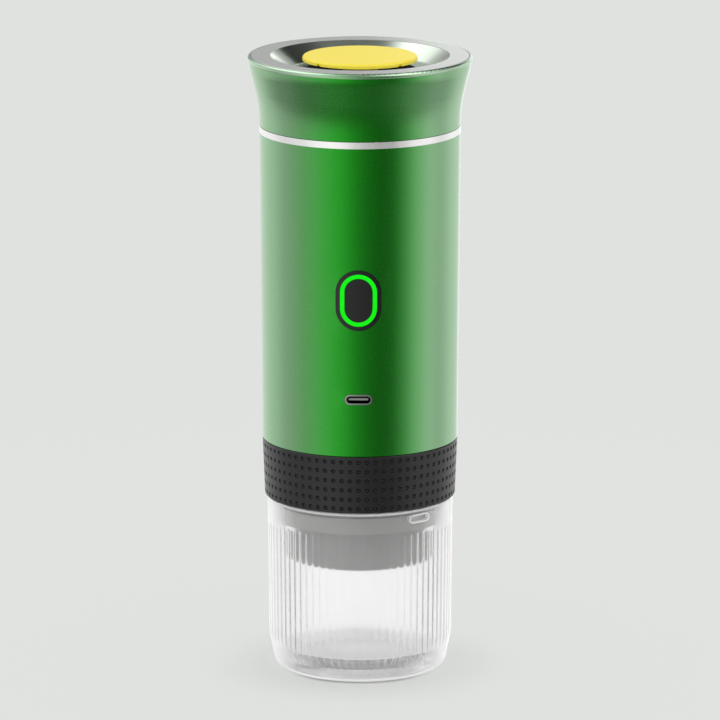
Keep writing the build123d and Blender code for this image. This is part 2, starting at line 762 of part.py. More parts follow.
def make_light_ring():
    """Clear ring round the button, lit from the board."""
    profile = light_outline(-FIT_GAP) - upright_pill(BUTTON_WIDTH, BUTTON_HEIGHT)
    bar = front_bar(profile, board_front + LED_SIZE[2] + SLIDE_GAP, button_height, SLEEVE_RADIUS)
    return bar & sleeve_form(0)


def make_button_bezel():
    """Dark frame of the button, standing on the board, with a flange behind the sleeve."""
    tube_bar = front_bar(bezel_outline(0), board_front, button_height, SLEEVE_RADIUS)
    inside = sleeve_form(-SLEEVE_WALL - SLIDE_GAP)
    behind = sleeve_form(-SLEEVE_WALL - SLIDE_GAP - BEZEL_FLANGE_DEPTH)
    flange = front_bar(bezel_outline(BEZEL_FLANGE), board_front, button_height, SLEEVE_RADIUS)
    whole = (tube_bar & sleeve_form(BEZEL_PROUD)) + ((flange & inside) - behind)
    return whole - front_bar(light_outline(0), board_front, button_height, SLEEVE_RADIUS)


def make_status_leds():
    """Four small lamps under the light ring."""
    wide = (BUTTON_WIDTH + LIGHT_WIDTH) / 2
    high = (BUTTON_HEIGHT + LIGHT_WIDTH) / 2
    spots = ((0, high, 0), (0, -high, 0), (wide, 0, 90), (-wide, 0, 90))
    width, height, depth = LED_SIZE
    outlines = [Pos(x, y) * Rectangle(width, height, rotation=turn) for x, y, turn in spots]
    return [front_bar(outline, board_front, button_height, depth) for outline in outlines]


def make_usb_socket():
    """Shell of the charging socket, flush with the sleeve."""
    bar = front_bar(SlotOverall(USB_WIDTH, USB_THICKNESS), board_front, usb_height, SLEEVE_RADIUS)
    mouth = SlotOverall(USB_MOUTH_WIDTH, USB_MOUTH_THICKNESS)
    return (bar & sleeve_form(0)) - front_bar(mouth, board_front + USB_BACK, usb_height, SLEEVE_RADIUS)


def make_usb_tongue():
    """Contact tongue inside the charging socket."""
    profile = Rectangle(TONGUE_WIDTH, TONGUE_THICKNESS)
    return front_bar(profile, board_front + USB_BACK, usb_height, TONGUE_LENGTH)


def make_tank_jacket():
    """Moulded jacket that stands on the upper holder and carries the tank's brim."""
    return tube(core_radius - FIT_GAP, tank_outer + FIT_GAP, upper_holder_top, tank_top - TANK_WALL)


def make_water_tank():
    """Drawn steel tank with a brim and a drain in its floor."""
    brim = tank_outer + TANK_FLANGE
    return turned(
        (SPIGOT_BORE, tank_bottom),
        (tank_outer, tank_bottom),
        (tank_outer, tank_top - TANK_WALL),
        (brim, tank_top - TANK_WALL),
        (brim, tank_top),
        (tank_inner, tank_top),
        (tank_inner, tank_bottom + TANK_WALL),
        (SPIGOT_BORE, tank_bottom + TANK_WALL),
    )


def make_tank_seal():
    """Flat seal between the tank's brim and the collar."""
    return tube(tank_outer + TANK_FLANGE, collar_bore, tank_top, collar_bottom)


def make_tank_collar():
    """Neck that the lid screws into."""
    neck = tube(collar_outer, collar_bore, collar_bottom, collar_top)
    return neck - screw_grooves(collar_bore, lid_lug, collar_top, LID_LEAD)


def make_heater_plate():
    """Heating disc under the tank."""
    return tube(heater_radius, SPIGOT_RADIUS + FIT_GAP, heater_bottom, tank_bottom)


def make_thermostat():
    """Cut-out switch between the heater and the upper holder."""
    reach = heater_radius - THERMOSTAT_INSET
    return Pos(0, reach, 0) * rod(THERMOSTAT_RADIUS, upper_holder_top, heater_bottom)


def make_lid_shell():
    """Flared metal skirt of the lid, with a lip round the plate."""
    lip_bottom = lid_top - LIP_HEIGHT
    lip_inner = plate_radius + PLATE_SEAM
    corner = lid_bottom + LID_FLARE_START
    shoulder = lid_top - LID_SHOULDER
    shoulder_radius = rim_radius - LIP_OVERHANG
    inner_round = LID_FLARE_RADIUS + LID_WALL
    return turned(
        (lid_radius, lid_bottom),
        (lid_radius, corner, LID_FLARE_RADIUS),
        (shoulder_radius, shoulder, LID_SHOULDER_RADIUS),
        (shoulder_radius, lip_bottom),
        (rim_radius, lip_bottom, LIP_EDGE_ROUND),
        (rim_radius, lid_top, LIP_ROUND),
        (lip_inner, lid_top, PLATE_ROUND),
        (lip_inner, plate_seat),
        (plate_radius - PLATE_SEAT, plate_seat),
        (lid_radius - LID_WALL, corner, inner_round),
        (lid_radius - LID_WALL, lid_bottom),
    )


def make_lid_rim_plate():
    """Metal plate inside the lid's lip, with its dished middle."""
    under_floor = dish_floor - PLATE_THICKNESS
    return turned(
        (tower_bore, dish_floor),
        (dish_low_radius, dish_floor, DISH_ROUND),
        (dish_edge, lid_top, DISH_EDGE_ROUND),
        (plate_radius, lid_top, PLATE_ROUND),
        (plate_radius, plate_seat),
        (dish_edge + PLATE_THICKNESS, plate_seat),
        (dish_low_radius + PLATE_THICKNESS / 2, under_floor),
        (tower_bore, under_floor),
    )


def make_lid_plug():
    """Moulded plug of the lid, with a guide and a tower for the air valve."""
    floor_top = plug_bottom + PLUG_FLOOR
    flange_top = lid_bottom + PLUG_FLANGE
    tower_radius = tower_bore + TOWER_WALL
    tower_top = dish_floor - PLATE_THICKNESS
    bore = STEM_RADIUS + SLIDE_GAP
    guide_top = plug_bottom + GUIDE_HEIGHT
    plug = turned(
        (bore, plug_bottom),
        (plug_radius, plug_bottom),
        (plug_radius, lid_bottom),
        (lid_radius - LID_WALL - FIT_GAP, lid_bottom),
        (lid_radius - LID_WALL - FIT_GAP, flange_top),
        (plug_radius - PLUG_WALL, flange_top),
        (plug_radius - PLUG_WALL, floor_top),
        (tower_radius, floor_top),
        (tower_radius, tower_top),
        (tower_bore, tower_top),
        (tower_bore, guide_top),
        (bore, guide_top),
    )
    return plug + screw_lugs(plug_radius, collar_bore, lid_lug, LID_LEAD)


def make_lid_seal():
    """Soft ring between the lid's plug and the tank's collar."""
    bottom = collar_top + SEAT_GAP
    inner = collar_bore + FIT_GAP
    return tube(inner + LID_SEAL_WIDTH, inner, bottom, bottom + LID_SEAL_THICKNESS)


def hub_bottom():
    """Height of the lower end of the button's hub."""
    return lid_top - VENT_THICKNESS - HUB_LENGTH


def make_vent_button():
    """Round button of the air valve, on a hub, with four small notches under its edge."""
    underside = lid_top - VENT_THICKNESS
    socket = STEM_RADIUS + FIT_GAP
    button = turned(
        (0, lid_top),
        (vent_radius, lid_top, VENT_ROUND),
        (vent_radius, underside),
        (HUB_RADIUS, underside),
        (HUB_RADIUS, hub_bottom()),
        (socket, hub_bottom()),
        (socket, hub_bottom() + STEM_SOCKET),
        (0, hub_bottom() + STEM_SOCKET),
    )
    notch = Pos(0, 0, underside) * Box(NOTCH_WIDTH, NOTCH_WIDTH, 2 * NOTCH_HEIGHT)
    return button - around(NOTCH_ANGLES, vent_radius, notch)


def vent_seal_top():
    """Height of the top of the valve's seal, under the plug."""
    return plug_bottom - SEAT_GAP


def make_vent_seal():
    """Soft disc that shuts the air hole from below."""
    top = vent_seal_top()
    return tube(VENT_SEAL_RADIUS, STEM_RADIUS + FIT_GAP, top - VENT_SEAL_THICKNESS, top)


def make_vent_stem():
    """Stem from the button's hub down to the seal, with a head under the seal."""
    seat = vent_seal_top() - VENT_SEAL_THICKNESS
    stem = rod(STEM_RADIUS, seat, hub_bottom() + STEM_SOCKET - FIT_GAP)
    return stem + rod(STEM_HEAD_RADIUS, seat - STEM_HEAD, seat)


def make_vent_spring():
    """Spring that lifts the button."""
    bottom = plug_bottom + GUIDE_HEIGHT + FIT_GAP
    radius = (STEM_RADIUS + HUB_RADIUS) / 2
    return coil_spring(radius, SPRING_WIRE, bottom, hub_bottom() - FIT_GAP, SPRING_TURNS)


PIECES = {
    "cup": make_cup(),
    "brew_head_shell": make_brew_head_shell(),
    "grip_sleeve": make_grip_sleeve(),
    "cup_seal": make_cup_seal(),
    "outlet_funnel": make_outlet_funnel(),
    "filter_basket": make_filter_basket(),
    "filter_screen": make_filter_screen(),
    "head_gasket": make_head_gasket(),
    "body_sleeve": make_body_sleeve(),
    "trim_ring": make_trim_ring(),
    "base_housing": make_base_housing(),
    "shower_plate": make_shower_plate(),
    "shower_screws": make_shower_screws(),
    "pump_housing": make_pump_housing(),
    "pump_coil": make_pump_coil(),
    "pump_plunger": make_pump_plunger(),
    "pump_spring": make_pump_spring(),
    "outlet_valve": make_outlet_valve(),
    "suction_hose": make_suction_hose(),
    "tank_outlet": make_tank_outlet(),
    "battery_holder_lower": make_battery_holder_lower(),
    "battery_holder_upper": make_battery_holder_upper(),
    "holder_pillars": make_holder_pillars(),
    "pillar_screws": make_pillar_screws(),
    "battery_cells": make_battery_cells(),
    "cell_contacts": make_cell_contacts(),
    "main_board": make_main_board(),
    "tact_switch": make_tact_switch(),
    "switch_plunger": make_switch_plunger(),
    "status_leds": make_status_leds(),
    "usb_socket": make_usb_socket(),
    "usb_tongue": make_usb_tongue(),
    "button_bezel": make_button_bezel(),
    "light_ring": make_light_ring(),
    "power_button": make_power_button(),
    "water_tank": make_water_tank(),
    "tank_jacket": make_tank_jacket(),
    "tank_collar": make_tank_collar(),
    "tank_seal": make_tank_seal(),
    "heater_plate": make_heater_plate(),
    "thermostat": make_thermostat(),
    "lid_shell": make_lid_shell(),
    "lid_rim_plate": make_lid_rim_plate(),
    "lid_plug": make_lid_plug(),
    "lid_seal": make_lid_seal(),
    "vent_button": make_vent_button(),
    "vent_stem": make_vent_stem(),
    "vent_seal": make_vent_seal(),
    "vent_spring": make_vent_spring(),
}

os.makedirs("parts", exist_ok=True)
for name, shape in PIECES.items():
    solid = Compound(children=shape) if isinstance(shape, list) else shape
    export_step(solid, f"parts/{name}.step")
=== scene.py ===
"""Looks of a portable coffee maker: clear fluted cup, dimpled grip band, green metal body and flared lid."""
from math import atan2, cos, pi, radians, sin, tan

import bmesh
import bpy
from bpy.props import FloatProperty, FloatVectorProperty, IntProperty, PointerProperty
from bpy.types import NodeSocket, Operator, Panel, PropertyGroup
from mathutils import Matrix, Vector


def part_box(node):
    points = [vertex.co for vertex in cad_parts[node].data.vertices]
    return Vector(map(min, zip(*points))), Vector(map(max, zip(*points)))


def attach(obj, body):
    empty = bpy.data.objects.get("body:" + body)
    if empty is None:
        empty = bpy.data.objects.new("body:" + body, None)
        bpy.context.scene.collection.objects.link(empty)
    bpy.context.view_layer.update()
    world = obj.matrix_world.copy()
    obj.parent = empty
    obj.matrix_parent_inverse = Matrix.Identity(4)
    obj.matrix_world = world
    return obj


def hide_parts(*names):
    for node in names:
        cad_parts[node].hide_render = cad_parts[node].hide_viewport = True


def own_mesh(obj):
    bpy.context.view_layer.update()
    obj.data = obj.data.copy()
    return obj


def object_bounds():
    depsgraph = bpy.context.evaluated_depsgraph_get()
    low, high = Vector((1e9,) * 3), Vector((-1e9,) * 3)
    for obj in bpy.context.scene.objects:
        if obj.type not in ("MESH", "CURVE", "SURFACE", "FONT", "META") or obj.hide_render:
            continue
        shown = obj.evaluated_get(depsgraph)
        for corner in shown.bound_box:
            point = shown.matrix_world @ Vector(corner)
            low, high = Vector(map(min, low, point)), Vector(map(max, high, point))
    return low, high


bl_info = {
    "name": "Portable coffee maker",
    "version": (1, 0, 0),
    "blender": (4, 5, 0),
    "location": "3D View > Sidebar > Coffee maker",
    "description": "Dresses the packed coffee maker with its fine shapes and finishes",
    "category": "Object",
}

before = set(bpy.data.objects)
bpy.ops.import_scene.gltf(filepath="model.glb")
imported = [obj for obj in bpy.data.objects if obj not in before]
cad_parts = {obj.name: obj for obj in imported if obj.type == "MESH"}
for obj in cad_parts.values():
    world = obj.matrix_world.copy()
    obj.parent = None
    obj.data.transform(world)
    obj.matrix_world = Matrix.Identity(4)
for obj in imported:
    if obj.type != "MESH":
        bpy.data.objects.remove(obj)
cad_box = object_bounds()

MM = 0.001


# Settings


def length(name, description, millimetres):
    """Length setting, given in millimetres."""
    return FloatProperty(
        name=name, description=description, default=millimetres * MM, unit="LENGTH", precision=5
    )


def angle(name, description, value):
    """Angle setting, given in degrees."""
    return FloatProperty(name=name, description=description, default=radians(value), unit="ROTATION")


def share(name, description, value):
    """Setting between 0 and 1."""
    return FloatProperty(
        name=name, description=description, default=value, min=0.0, max=1.0, subtype="FACTOR"
    )


def colour(name, description, value):
    """Colour setting."""
    return FloatVectorProperty(
        name=name, description=description, default=value, min=0.0, max=1.0, size=3, subtype="COLOR"
    )


class CupSettings(PropertyGroup):
    """Sizes and finish of the clear cup."""

    wall: length("Wall", "Thickness of the smooth mouth", 2.0)
    draft: length("Draft", "How much narrower the wall is at its lower end", 0.5)
    slope: length("Slope height", "Height of the slope under the wall", 12.0)
    slope_width: length("Slope width", "How much narrower the slope gets towards the table", 2.4)
    slope_round: length("Slope round", "Round between the wall and the slope", 20.0)
    corner: length("Outer corner", "Round at the foot", 4.0)
    floor: length("Floor", "Height of the floor inside", 4.6)
    floor_radius: length("Floor radius", "Radius of the floor inside", 25.6)
    bevel: length("Bevel", "Height of the slope between the floor and the wall inside", 4.6)
    foot_radius: length("Foot hollow radius", "Radius of the hollow under the foot", 18.0)
    foot_hollow: length("Foot hollow depth", "Depth of the hollow under the foot", 0.8)
    lip: length("Lip round", "Round at the rim", 0.6)
    mouth: length("Mouth", "Height of the smooth stretch under the rim", 8.4)
    flutes: IntProperty(name="Flutes", description="Upright flutes round the inside", default=72, min=12)
    flute_depth: length("Flute depth", "How deep the flutes are cut into the wall", 0.3)
    flute_run: length("Flute run-out", "Height in which the flutes fade into the mouth", 1.5)
    slot_length: length("Slot length", "Length of the air slot", 8.4)
    slot_width: length("Slot width", "Width of the air slot", 2.4)
    slot_drop: length("Slot drop", "From the rim down to the air slot", 3.4)
    slot_angle: angle("Slot angle", "Place of the air slot, from +X", -49.0)
    # Painted highlight: width of the whitish lip round the air slot
    slot_highlight_width: length("Slot lip", "Width of the whitish lip round the air slot", 0.3)
    tint: colour("Tint", "Colour of the clear plastic", (0.99, 0.99, 0.99))
    clearness: share("Clearness", "Share of light that goes straight through a surface", 0.96)
    softness: share("Softness", "How much the plastic blurs what is behind it", 0.2)
    bending: FloatProperty(
        name="Bending", description="Refractive index of the plastic", default=1.33, min=1.0
    )
    # Painted sheen and highlights: how much the plastic is turned white at a glance, with streaks from the
    # flutes, and on the slot's lip, the floor's edge, the foot and the rim
    slot_edge_highlight: share("Lip white", "How white the lip of the air slot is", 0.75)
    floor_edge_highlight: share("Edge white", "How white the edge of the floor is", 0.6)
    painted_glance_sheen: share("Glance white", "How white the plastic looks along its surface", 0.74)
    sheen_streaks: share("Streaks", "How much clearer the flutes' crests are than their grooves", 0.35)
    foot_highlight: share("Foot white", "How white the round at the foot is", 0.75)
    foot_highlight_top: length("Foot height", "Height at which the white of the foot ends", 2.6)
    rim_highlight: share("Rim white", "How white the rim is", 0.5)
    rim_highlight_depth: length("Rim height", "Height of the white rim", 1.0)


class GripSettings(PropertyGroup):
    """Sizes and finish of the grip band."""

    taper: length("Taper", "How much narrower the band is at the bottom", 0.8)
    thickness: length("Thickness", "Thickness of the band", 2.2)
    edge: length("Edge round", "Round at the two edges", 0.45)
    columns: IntProperty(name="Dimples round", description="Dimples in one row", default=72, min=12)
    rows: IntProperty(name="Rows", description="Rows of dimples", default=6, min=1)
    pitch: length("Row pitch", "Distance between rows", 3.34)
    first: length("First row", "From the top edge down to the first row", 2.0)
    dimple: length("Dimple radius", "Radius of a dimple", 0.8)
    depth: length("Dimple depth", "Depth of a dimple", 0.7)
    black: colour("Rubber", "Colour of the grip", (0.008, 0.008, 0.008))


class HeadSettings(PropertyGroup):
    """Finish of the brew head."""

    plastic: colour("Plastic", "Colour of the brew head", (0.395, 0.395, 0.39))
    collar: colour("Collar", "Colour of its paler collar", (0.5, 0.5, 0.49))
    collar_radius: length("Collar radius", "Radius where the collar begins", 25.0)
    collar_fade: length("Collar fade", "Half the width in which the collar's colour begins", 1.0)


class BodySettings(PropertyGroup):
    """Finish of the metal body."""

    green: colour("Green", "Colour of the anodised metal", (0.02, 0.37, 0.02))
    satin: share("Satin", "Roughness of the anodised metal", 0.28)
    glance: share("Glance", "Slant from which the clear layer shines in full", 0.42)
    # Painted highlight: the lid's lip gets a paler green than the body
    lip: colour("Lip", "Colour of the bright lip round the lid", (0.27, 0.54, 0.27))
    painted_lip_height: length("Lip height", "Height of the bright lip", 1.75)
    lip_glance: share("Lip glance", "Slant from which the lip's clear layer shines in full", 0.15)
    trim: colour("Trim", "Colour of the bright ring", (0.94, 0.94, 0.93))


class ButtonSettings(PropertyGroup):
    """Finish of the button and its light."""

    black: colour("Black", "Colour of the button", (0.005, 0.005, 0.005))
    light: colour("Light", "Colour of the lit ring", (0.002, 0.86, 0.004))
    unlit: colour("Unlit", "Colour of the ring itself", (0.002, 0.06, 0.002))


class SocketSettings(PropertyGroup):
    """Finish of the charging socket."""

    steel: colour("Steel", "Colour of the plated shell", (0.4, 0.46, 0.4))
    # Painted shade: the colour given to the steel inside the shell
    inside: colour("Inside", "Colour inside the shell", (0.02, 0.02, 0.02))
    tongue: colour("Tongue", "Colour of the tongue", (0.26, 0.26, 0.25))


class LidSettings(PropertyGroup):
    """Finish of the lid's plate and its button."""

    metal: colour("Plate metal", "Colour of the plate", (0.8, 0.82, 0.8))
    satin: share("Ring satin", "Roughness of the flat ring", 0.3)
    ring_inner: length("Ring inside", "Radius where the flat ring begins", 31.6)
    # Painted reflection: the dish's colour has a greenish tint for the green and yellow it reflects
    dish: colour("Dish metal", "Colour of the dish", (0.74, 0.83, 0.72))
    polish: share("Dish polish", "Roughness of the dish", 0.2)
    # Painted shade: the dish under the air button gets a near-black colour and a rough finish because it lies
    # in shade there
    painted_shade: colour("Hidden metal", "Colour of the dish under the air button", (0.015, 0.015, 0.015))
    painted_shade_rough: share("Hidden roughness", "Roughness of the dish under the air button", 0.9)
    yellow: colour("Yellow", "Colour of the air button", (1.0, 0.8, 0.05))


class SpringSettings(PropertyGroup):
    """Shape of the two springs."""

    wire: length("Wire", "Thickness of the wire", 0.7)
    turns: IntProperty(name="Turns", description="Turns of the wire", default=4, min=1)


class StageSettings(PropertyGroup):
    """Camera, floor and light."""

    azimuth: angle("Azimuth", "Camera's turn to the right of the front", 0.9)
    elevation: angle("Elevation", "Camera's height above the horizon", 12.6)
    distance: length("Distance", "From the camera to the point it aims at", 2239.0)
    aim: length("Aim height", "Height of the point that the camera aims at", 109.5)
    lens: FloatProperty(name="Lens", description="Focal length", default=319.5, unit="CAMERA")
    backdrop: colour("Backdrop", "Colour of the floor and the backdrop", (0.745, 0.76, 0.737))
    floor_radius: length("Floor radius", "Radius of the floor that takes the shadow", 500.0)
    shadow: share("Shadow", "Strength of the shadow on the floor", 0.85)
    far_shadow: share("Far shadow", "Share of that shadow that is left away from the foot", 0.15)
    dimming: share("Dimming", "Strength of the shadow that shows through the cup", 0.03)
    # Painted shadow: how much darker the floor's colour is made under the foot, where it shows through the
    # cup
    painted_foot_shadow: share("Foot dimming", "Strength of the shadow under the foot that shows through it", 0.7)
    card_width: length("Card width", "Width of the panel behind the lid", 220.0)
    card_height: length("Card height", "Height of the panel behind the lid", 140.0)
    card_place: FloatVectorProperty(
        name="Card place",
        description="Middle of the panel behind the lid",
        default=(0.115, 0.3, 0.3),
        size=3,
        subtype="TRANSLATION",
    )
    card_level: FloatProperty(name="Card level", description="Brightness of the panel", default=0.45, min=0.0)
    level: FloatProperty(
        name="Level", description="Brightness of the soft light all round", default=1.09, min=0.0
    )


class CoffeeMakerSettings(PropertyGroup):
    """All settings of the coffee maker."""

    cup: PointerProperty(type=CupSettings)
    grip: PointerProperty(type=GripSettings)
    head: PointerProperty(type=HeadSettings)
    body: PointerProperty(type=BodySettings)
    button: PointerProperty(type=ButtonSettings)
    socket: PointerProperty(type=SocketSettings)
    lid: PointerProperty(type=LidSettings)
    spring: PointerProperty(type=SpringSettings)
    stage: PointerProperty(type=StageSettings)


# Shapes

WELD = 0.001 * MM  # points that are closer become one
SHARP = radians(40)  # edges that are steeper stay sharp
HUB = 0.1 * MM  # radius of the innermost ring of a round face
ARC_STEPS = 8  # steps in a round
END_STEPS = 12  # steps in a round end of the air slot
TURN_STEPS = 32  # steps in a turn of a spring
WIRE_SIDES = 12  # sides of a spring's wire
FLUTE_POINTS = 8  # points across a flute
RUN_STEPS = 6  # steps in which the flutes fade into the mouth
CELL_POINTS = 3  # points along a dimple's cell
CELL_HEIGHT = 1.35  # half the height of a dimple's cell, in radii of the dimple
DIMPLE = ((1.0, 0.0), (0.9, 0.16), (0.78, 0.6), (0.45, 0.93))  # shares of its radius and of its depth


def polar(radius, turn, height):
    """Point at a radius and a turn round the Z axis."""
    return Vector((radius * cos(turn), radius * sin(turn), height))


def rounded(corners):
    """Open outline of (radius, height, round) corners, with each round drawn as an arc."""
    outline = []
    for index, (radius, height, size) in enumerate(corners):
        corner = Vector((radius, height))
        if not size:
            outline.append(corner)
            continue
        back = (Vector(corners[index - 1][:2]) - corner).normalized()
        ahead = (Vector(corners[index + 1][:2]) - corner).normalized()
        half = back.angle(ahead) / 2
        middle = corner + (back + ahead).normalized() * size / sin(half)
        start = corner + back * size / tan(half) - middle
        end = corner + ahead * size / tan(half) - middle
        first = atan2(start.y, start.x)
        sweep = (atan2(end.y, end.x) - first + pi) % (2 * pi) - pi
        for step in range(ARC_STEPS + 1):
            turn = first + sweep * step / ARC_STEPS
            outline.append(middle + size * Vector((cos(turn), sin(turn))))
    return outline


def ring(shape, columns, radius, height, start=0.0, depth=0.0, waves=0):
    """Ring of points, with waves of a depth outwards from its radius."""
    turns = [start + 2 * pi * column / columns for column in range(columns)]
    reaches = [radius + depth * (0.5 + 0.5 * cos(waves * turn)) for turn in turns]
    return [shape.verts.new(polar(reach, turn, height)) for reach, turn in zip(reaches, turns)]


def skin(shape, rings):
    """Faces between neighbouring rings of points."""
    for low, high in zip(rings, rings[1:]):
        for column in range(len(low)):
            after = (column + 1) % len(low)
            shape.faces.new((low[column], low[after], high[after], high[column]))


def closed_skin(shape, rings):
    """Faces between neighbouring rings of points and over the two ends."""
    skin(shape, rings)
    for end in (rings[0], rings[-1]):
        shape.faces.new(end)


def link(name, data):
    """New object in the scene."""
    made = bpy.data.objects.new(name, data)
    bpy.context.scene.collection.objects.link(made)
    return made


def put(name, shape):
    """New object in the scene, made of a shape that isn't needed any more."""
    mesh = bpy.data.meshes.new(name)
    shape.to_mesh(mesh)
    shape.free()
    return link(name, mesh)


def piece(name, shape, body, node):
    """Object that rides on a body in the place of a CAD node."""
    bmesh.ops.remove_doubles(shape, verts=shape.verts, dist=WELD)
    bmesh.ops.recalc_face_normals(shape, faces=shape.faces)
    made = put(name, shape)
    made.data.shade_smooth()
    made.data.set_sharp_from_angle(angle=SHARP)
    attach(made, body)
    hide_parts(node)
    return made


def coiled_spring(name, node, body, spring):
    """Wire spring in the place of a CAD node."""
    low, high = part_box(node)
    shape = bmesh.new()
    half = spring.wire / 2
    reach = high.x - half
    rise = (high.z - low.z - spring.wire) / (2 * pi * spring.turns)
    sides = [2 * pi * side / WIRE_SIDES for side in range(WIRE_SIDES)]
    rings = []
    for step in range(TURN_STEPS * spring.turns + 1):
        turn = 2 * pi * step / TURN_STEPS
        middle = polar(reach, turn, low.z + half + rise * turn)
        out = polar(1, turn, 0)
        up = out.cross(polar(reach, turn + pi / 2, rise)).normalized()
        rings.append([shape.verts.new(middle + half * (cos(side) * out + sin(side) * up)) for side in sides])
    closed_skin(shape, rings)
    made = piece(name, shape, body, node)
    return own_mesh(made)


def cut(target, tool):
    """Takes one object's shape out of another's and deletes the tool."""
    cutter = target.modifiers.new("cut", "BOOLEAN")
    cutter.object = tool
    cutter.solver = "EXACT"
    result = target.evaluated_get(bpy.context.evaluated_depsgraph_get())
    target.data = bpy.data.meshes.new_from_object(result)
    target.modifiers.remove(cutter)
    bpy.data.objects.remove(tool)


def slot_bar(cup, radius, height):
    """Bar with round ends that goes through the cup's wall at the air slot."""
    shape = bmesh.new()
    bow = cup.slot_width / 2
    straight = cup.slot_length / 2 - bow
    side = [pi * step / END_STEPS - pi / 2 for step in range(END_STEPS + 1)]
    outline = [(straight + bow * cos(turn), bow * sin(turn)) for turn in side]
    outline += [(-across, -up) for across, up in outline]
    out = polar(1, cup.slot_angle, 0)
    along = polar(1, cup.slot_angle + pi / 2, 0)
    rings = []
    for reach in (radius - 2 * cup.wall, radius + cup.wall):
        middle = out * reach + Vector((0, 0, height - cup.slot_drop))
        points = [middle + along * across + Vector((0, 0, up)) for across, up in outline]
        rings.append([shape.verts.new(point) for point in points])
    closed_skin(shape, rings)
    bmesh.ops.recalc_face_normals(shape, faces=shape.faces)
    return put("slot_bar", shape)


def fluted_cup(cup):
    """Cup with a smooth mouth and upright flutes inside."""
    _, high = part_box("cup")
    radius, height = high.x, high.z
    low = radius - cup.draft
    mouth = radius - cup.wall
    crest = mouth - cup.flute_depth
    flute_top = height - cup.mouth
    outside = rounded(
        [
            (HUB, cup.foot_hollow, 0),
            (cup.foot_radius, cup.foot_hollow, 0),
            (cup.foot_radius + cup.foot_hollow / 4, 0, 0),
            (low - cup.slope_width, 0, cup.corner),
            (low, cup.slope, cup.slope_round),
            (radius, height, cup.lip),
            (mouth, height, cup.lip),
            (mouth, flute_top, 0),
        ]
    )
    inside = rounded(
        [
            (crest, flute_top - cup.flute_run, 0),
            (crest - cup.draft, cup.floor + cup.bevel, cup.lip),
            (cup.floor_radius, cup.floor, cup.lip),
            (cup.floor_radius - cup.bevel, cup.floor, 0),
            (HUB, cup.floor, 0),
        ]
    )
    columns = FLUTE_POINTS * cup.flutes
    shape = bmesh.new()
    rings = [ring(shape, columns, point.x, point.y) for point in outside]
    for step in range(1, RUN_STEPS):
        depth = cup.flute_depth * (0.5 - 0.5 * cos(pi * step / RUN_STEPS))
        level = flute_top - cup.flute_run * step / RUN_STEPS
        rings.append(ring(shape, columns, mouth - depth, level, depth=depth, waves=cup.flutes))
    for point in inside:
        fade = (point.x - cup.floor_radius + cup.bevel) / cup.bevel
        depth = cup.flute_depth * min(max(fade, 0.0), 1.0)
        rings.append(ring(shape, columns, point.x, point.y, depth=depth, waves=cup.flutes))
    closed_skin(shape, rings)
    made = piece("fluted_cup", shape, "cup", "cup")
    cut(made, slot_bar(cup, radius, height))
    return made


def dimpled_band(grip):
    """Grip band with rows of round dimples."""
    low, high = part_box("grip_sleeve")
    top_radius = high.x
    span = high.z - low.z
    inner = top_radius - grip.thickness
    columns = CELL_POINTS * grip.columns
    half_turn = pi / grip.columns
    half_cell = grip.dimple * CELL_HEIGHT
    shape = bmesh.new()

    def outer(height):
        """Radius of the band's outside at a height."""
        return top_radius - grip.taper * (high.z - height) / span

    def outside(height):
        """Point of the outline at a height."""
        return Vector((outer(height), height))

    def plain(points):
        """Plain stretch of an outline, which meets the dimple cells."""
        skin(shape, [ring(shape, columns, point.x, point.y, half_turn) for point in points])

    def cell(middle_turn, middle):
        """One dimple in its four-sided cell."""
        arc = outer(middle) * half_turn
        border = [(-1, -1), (-1 / 3, -1), (1 / 3, -1), (1, -1), (1, -1 / 3), (1, 1 / 3)]
        border += [(-across, -up) for across, up in border]
        loops = [[(across * arc, up * half_cell, 0.0) for across, up in border]]
        bearings = [atan2(up, across) for across, up, _ in loops[0]]
        for width, sunk in DIMPLE:
            reach = grip.dimple * width
            loops.append([(reach * cos(way), reach * sin(way), grip.depth * sunk) for way in bearings])
        rings = []
        for loop in loops:
            points = [
                polar(outer(middle + up) - sunk, middle_turn + across / outer(middle), middle + up)
                for across, up, sunk in loop
            ]
            rings.append([shape.verts.new(point) for point in points])
        skin(shape, rings)
        bottom = shape.verts.new(polar(outer(middle) - grip.depth, middle_turn, middle))
        last = rings[-1]
        for column, point in enumerate(last):
            shape.faces.new((point, last[(column + 1) % len(last)], bottom))

    rows = [high.z - grip.first - row * grip.pitch for row in range(grip.rows)]
    top_edge = rounded(
        [(inner, high.z, 0), (top_radius, high.z, grip.edge), (outer(rows[0]), rows[0], 0)]
    )
    low_edge = rounded(
        [(outer(rows[-1]), rows[-1], 0), (outer(low.z), low.z, grip.edge), (inner, low.z, 0)]
    )
    plain([low_edge[-1], *top_edge[:-1], outside(rows[0] + half_cell)])
    plain([outside(rows[-1] - half_cell), *low_edge[1:]])
    for above, below in zip(rows, rows[1:]):
        plain([outside(above - half_cell), outside(below + half_cell)])
    for row in rows:
        for column in range(grip.columns):
            cell(2 * column * half_turn, row)
    return piece("dimpled_band", shape, "brew_head", "grip_sleeve")


# Finishes

FADE = 0.1 * MM  # half the width of a clean edge between two finishes
GRAIN_RANGE = (0.3, 0.7)  # stretch of the noise that the grain follows
DRAWN = {"tone": 0.1, "gloss": 0.08, "stretch": (1, 1, 0.05)}  # upright marks of a drawn sheet


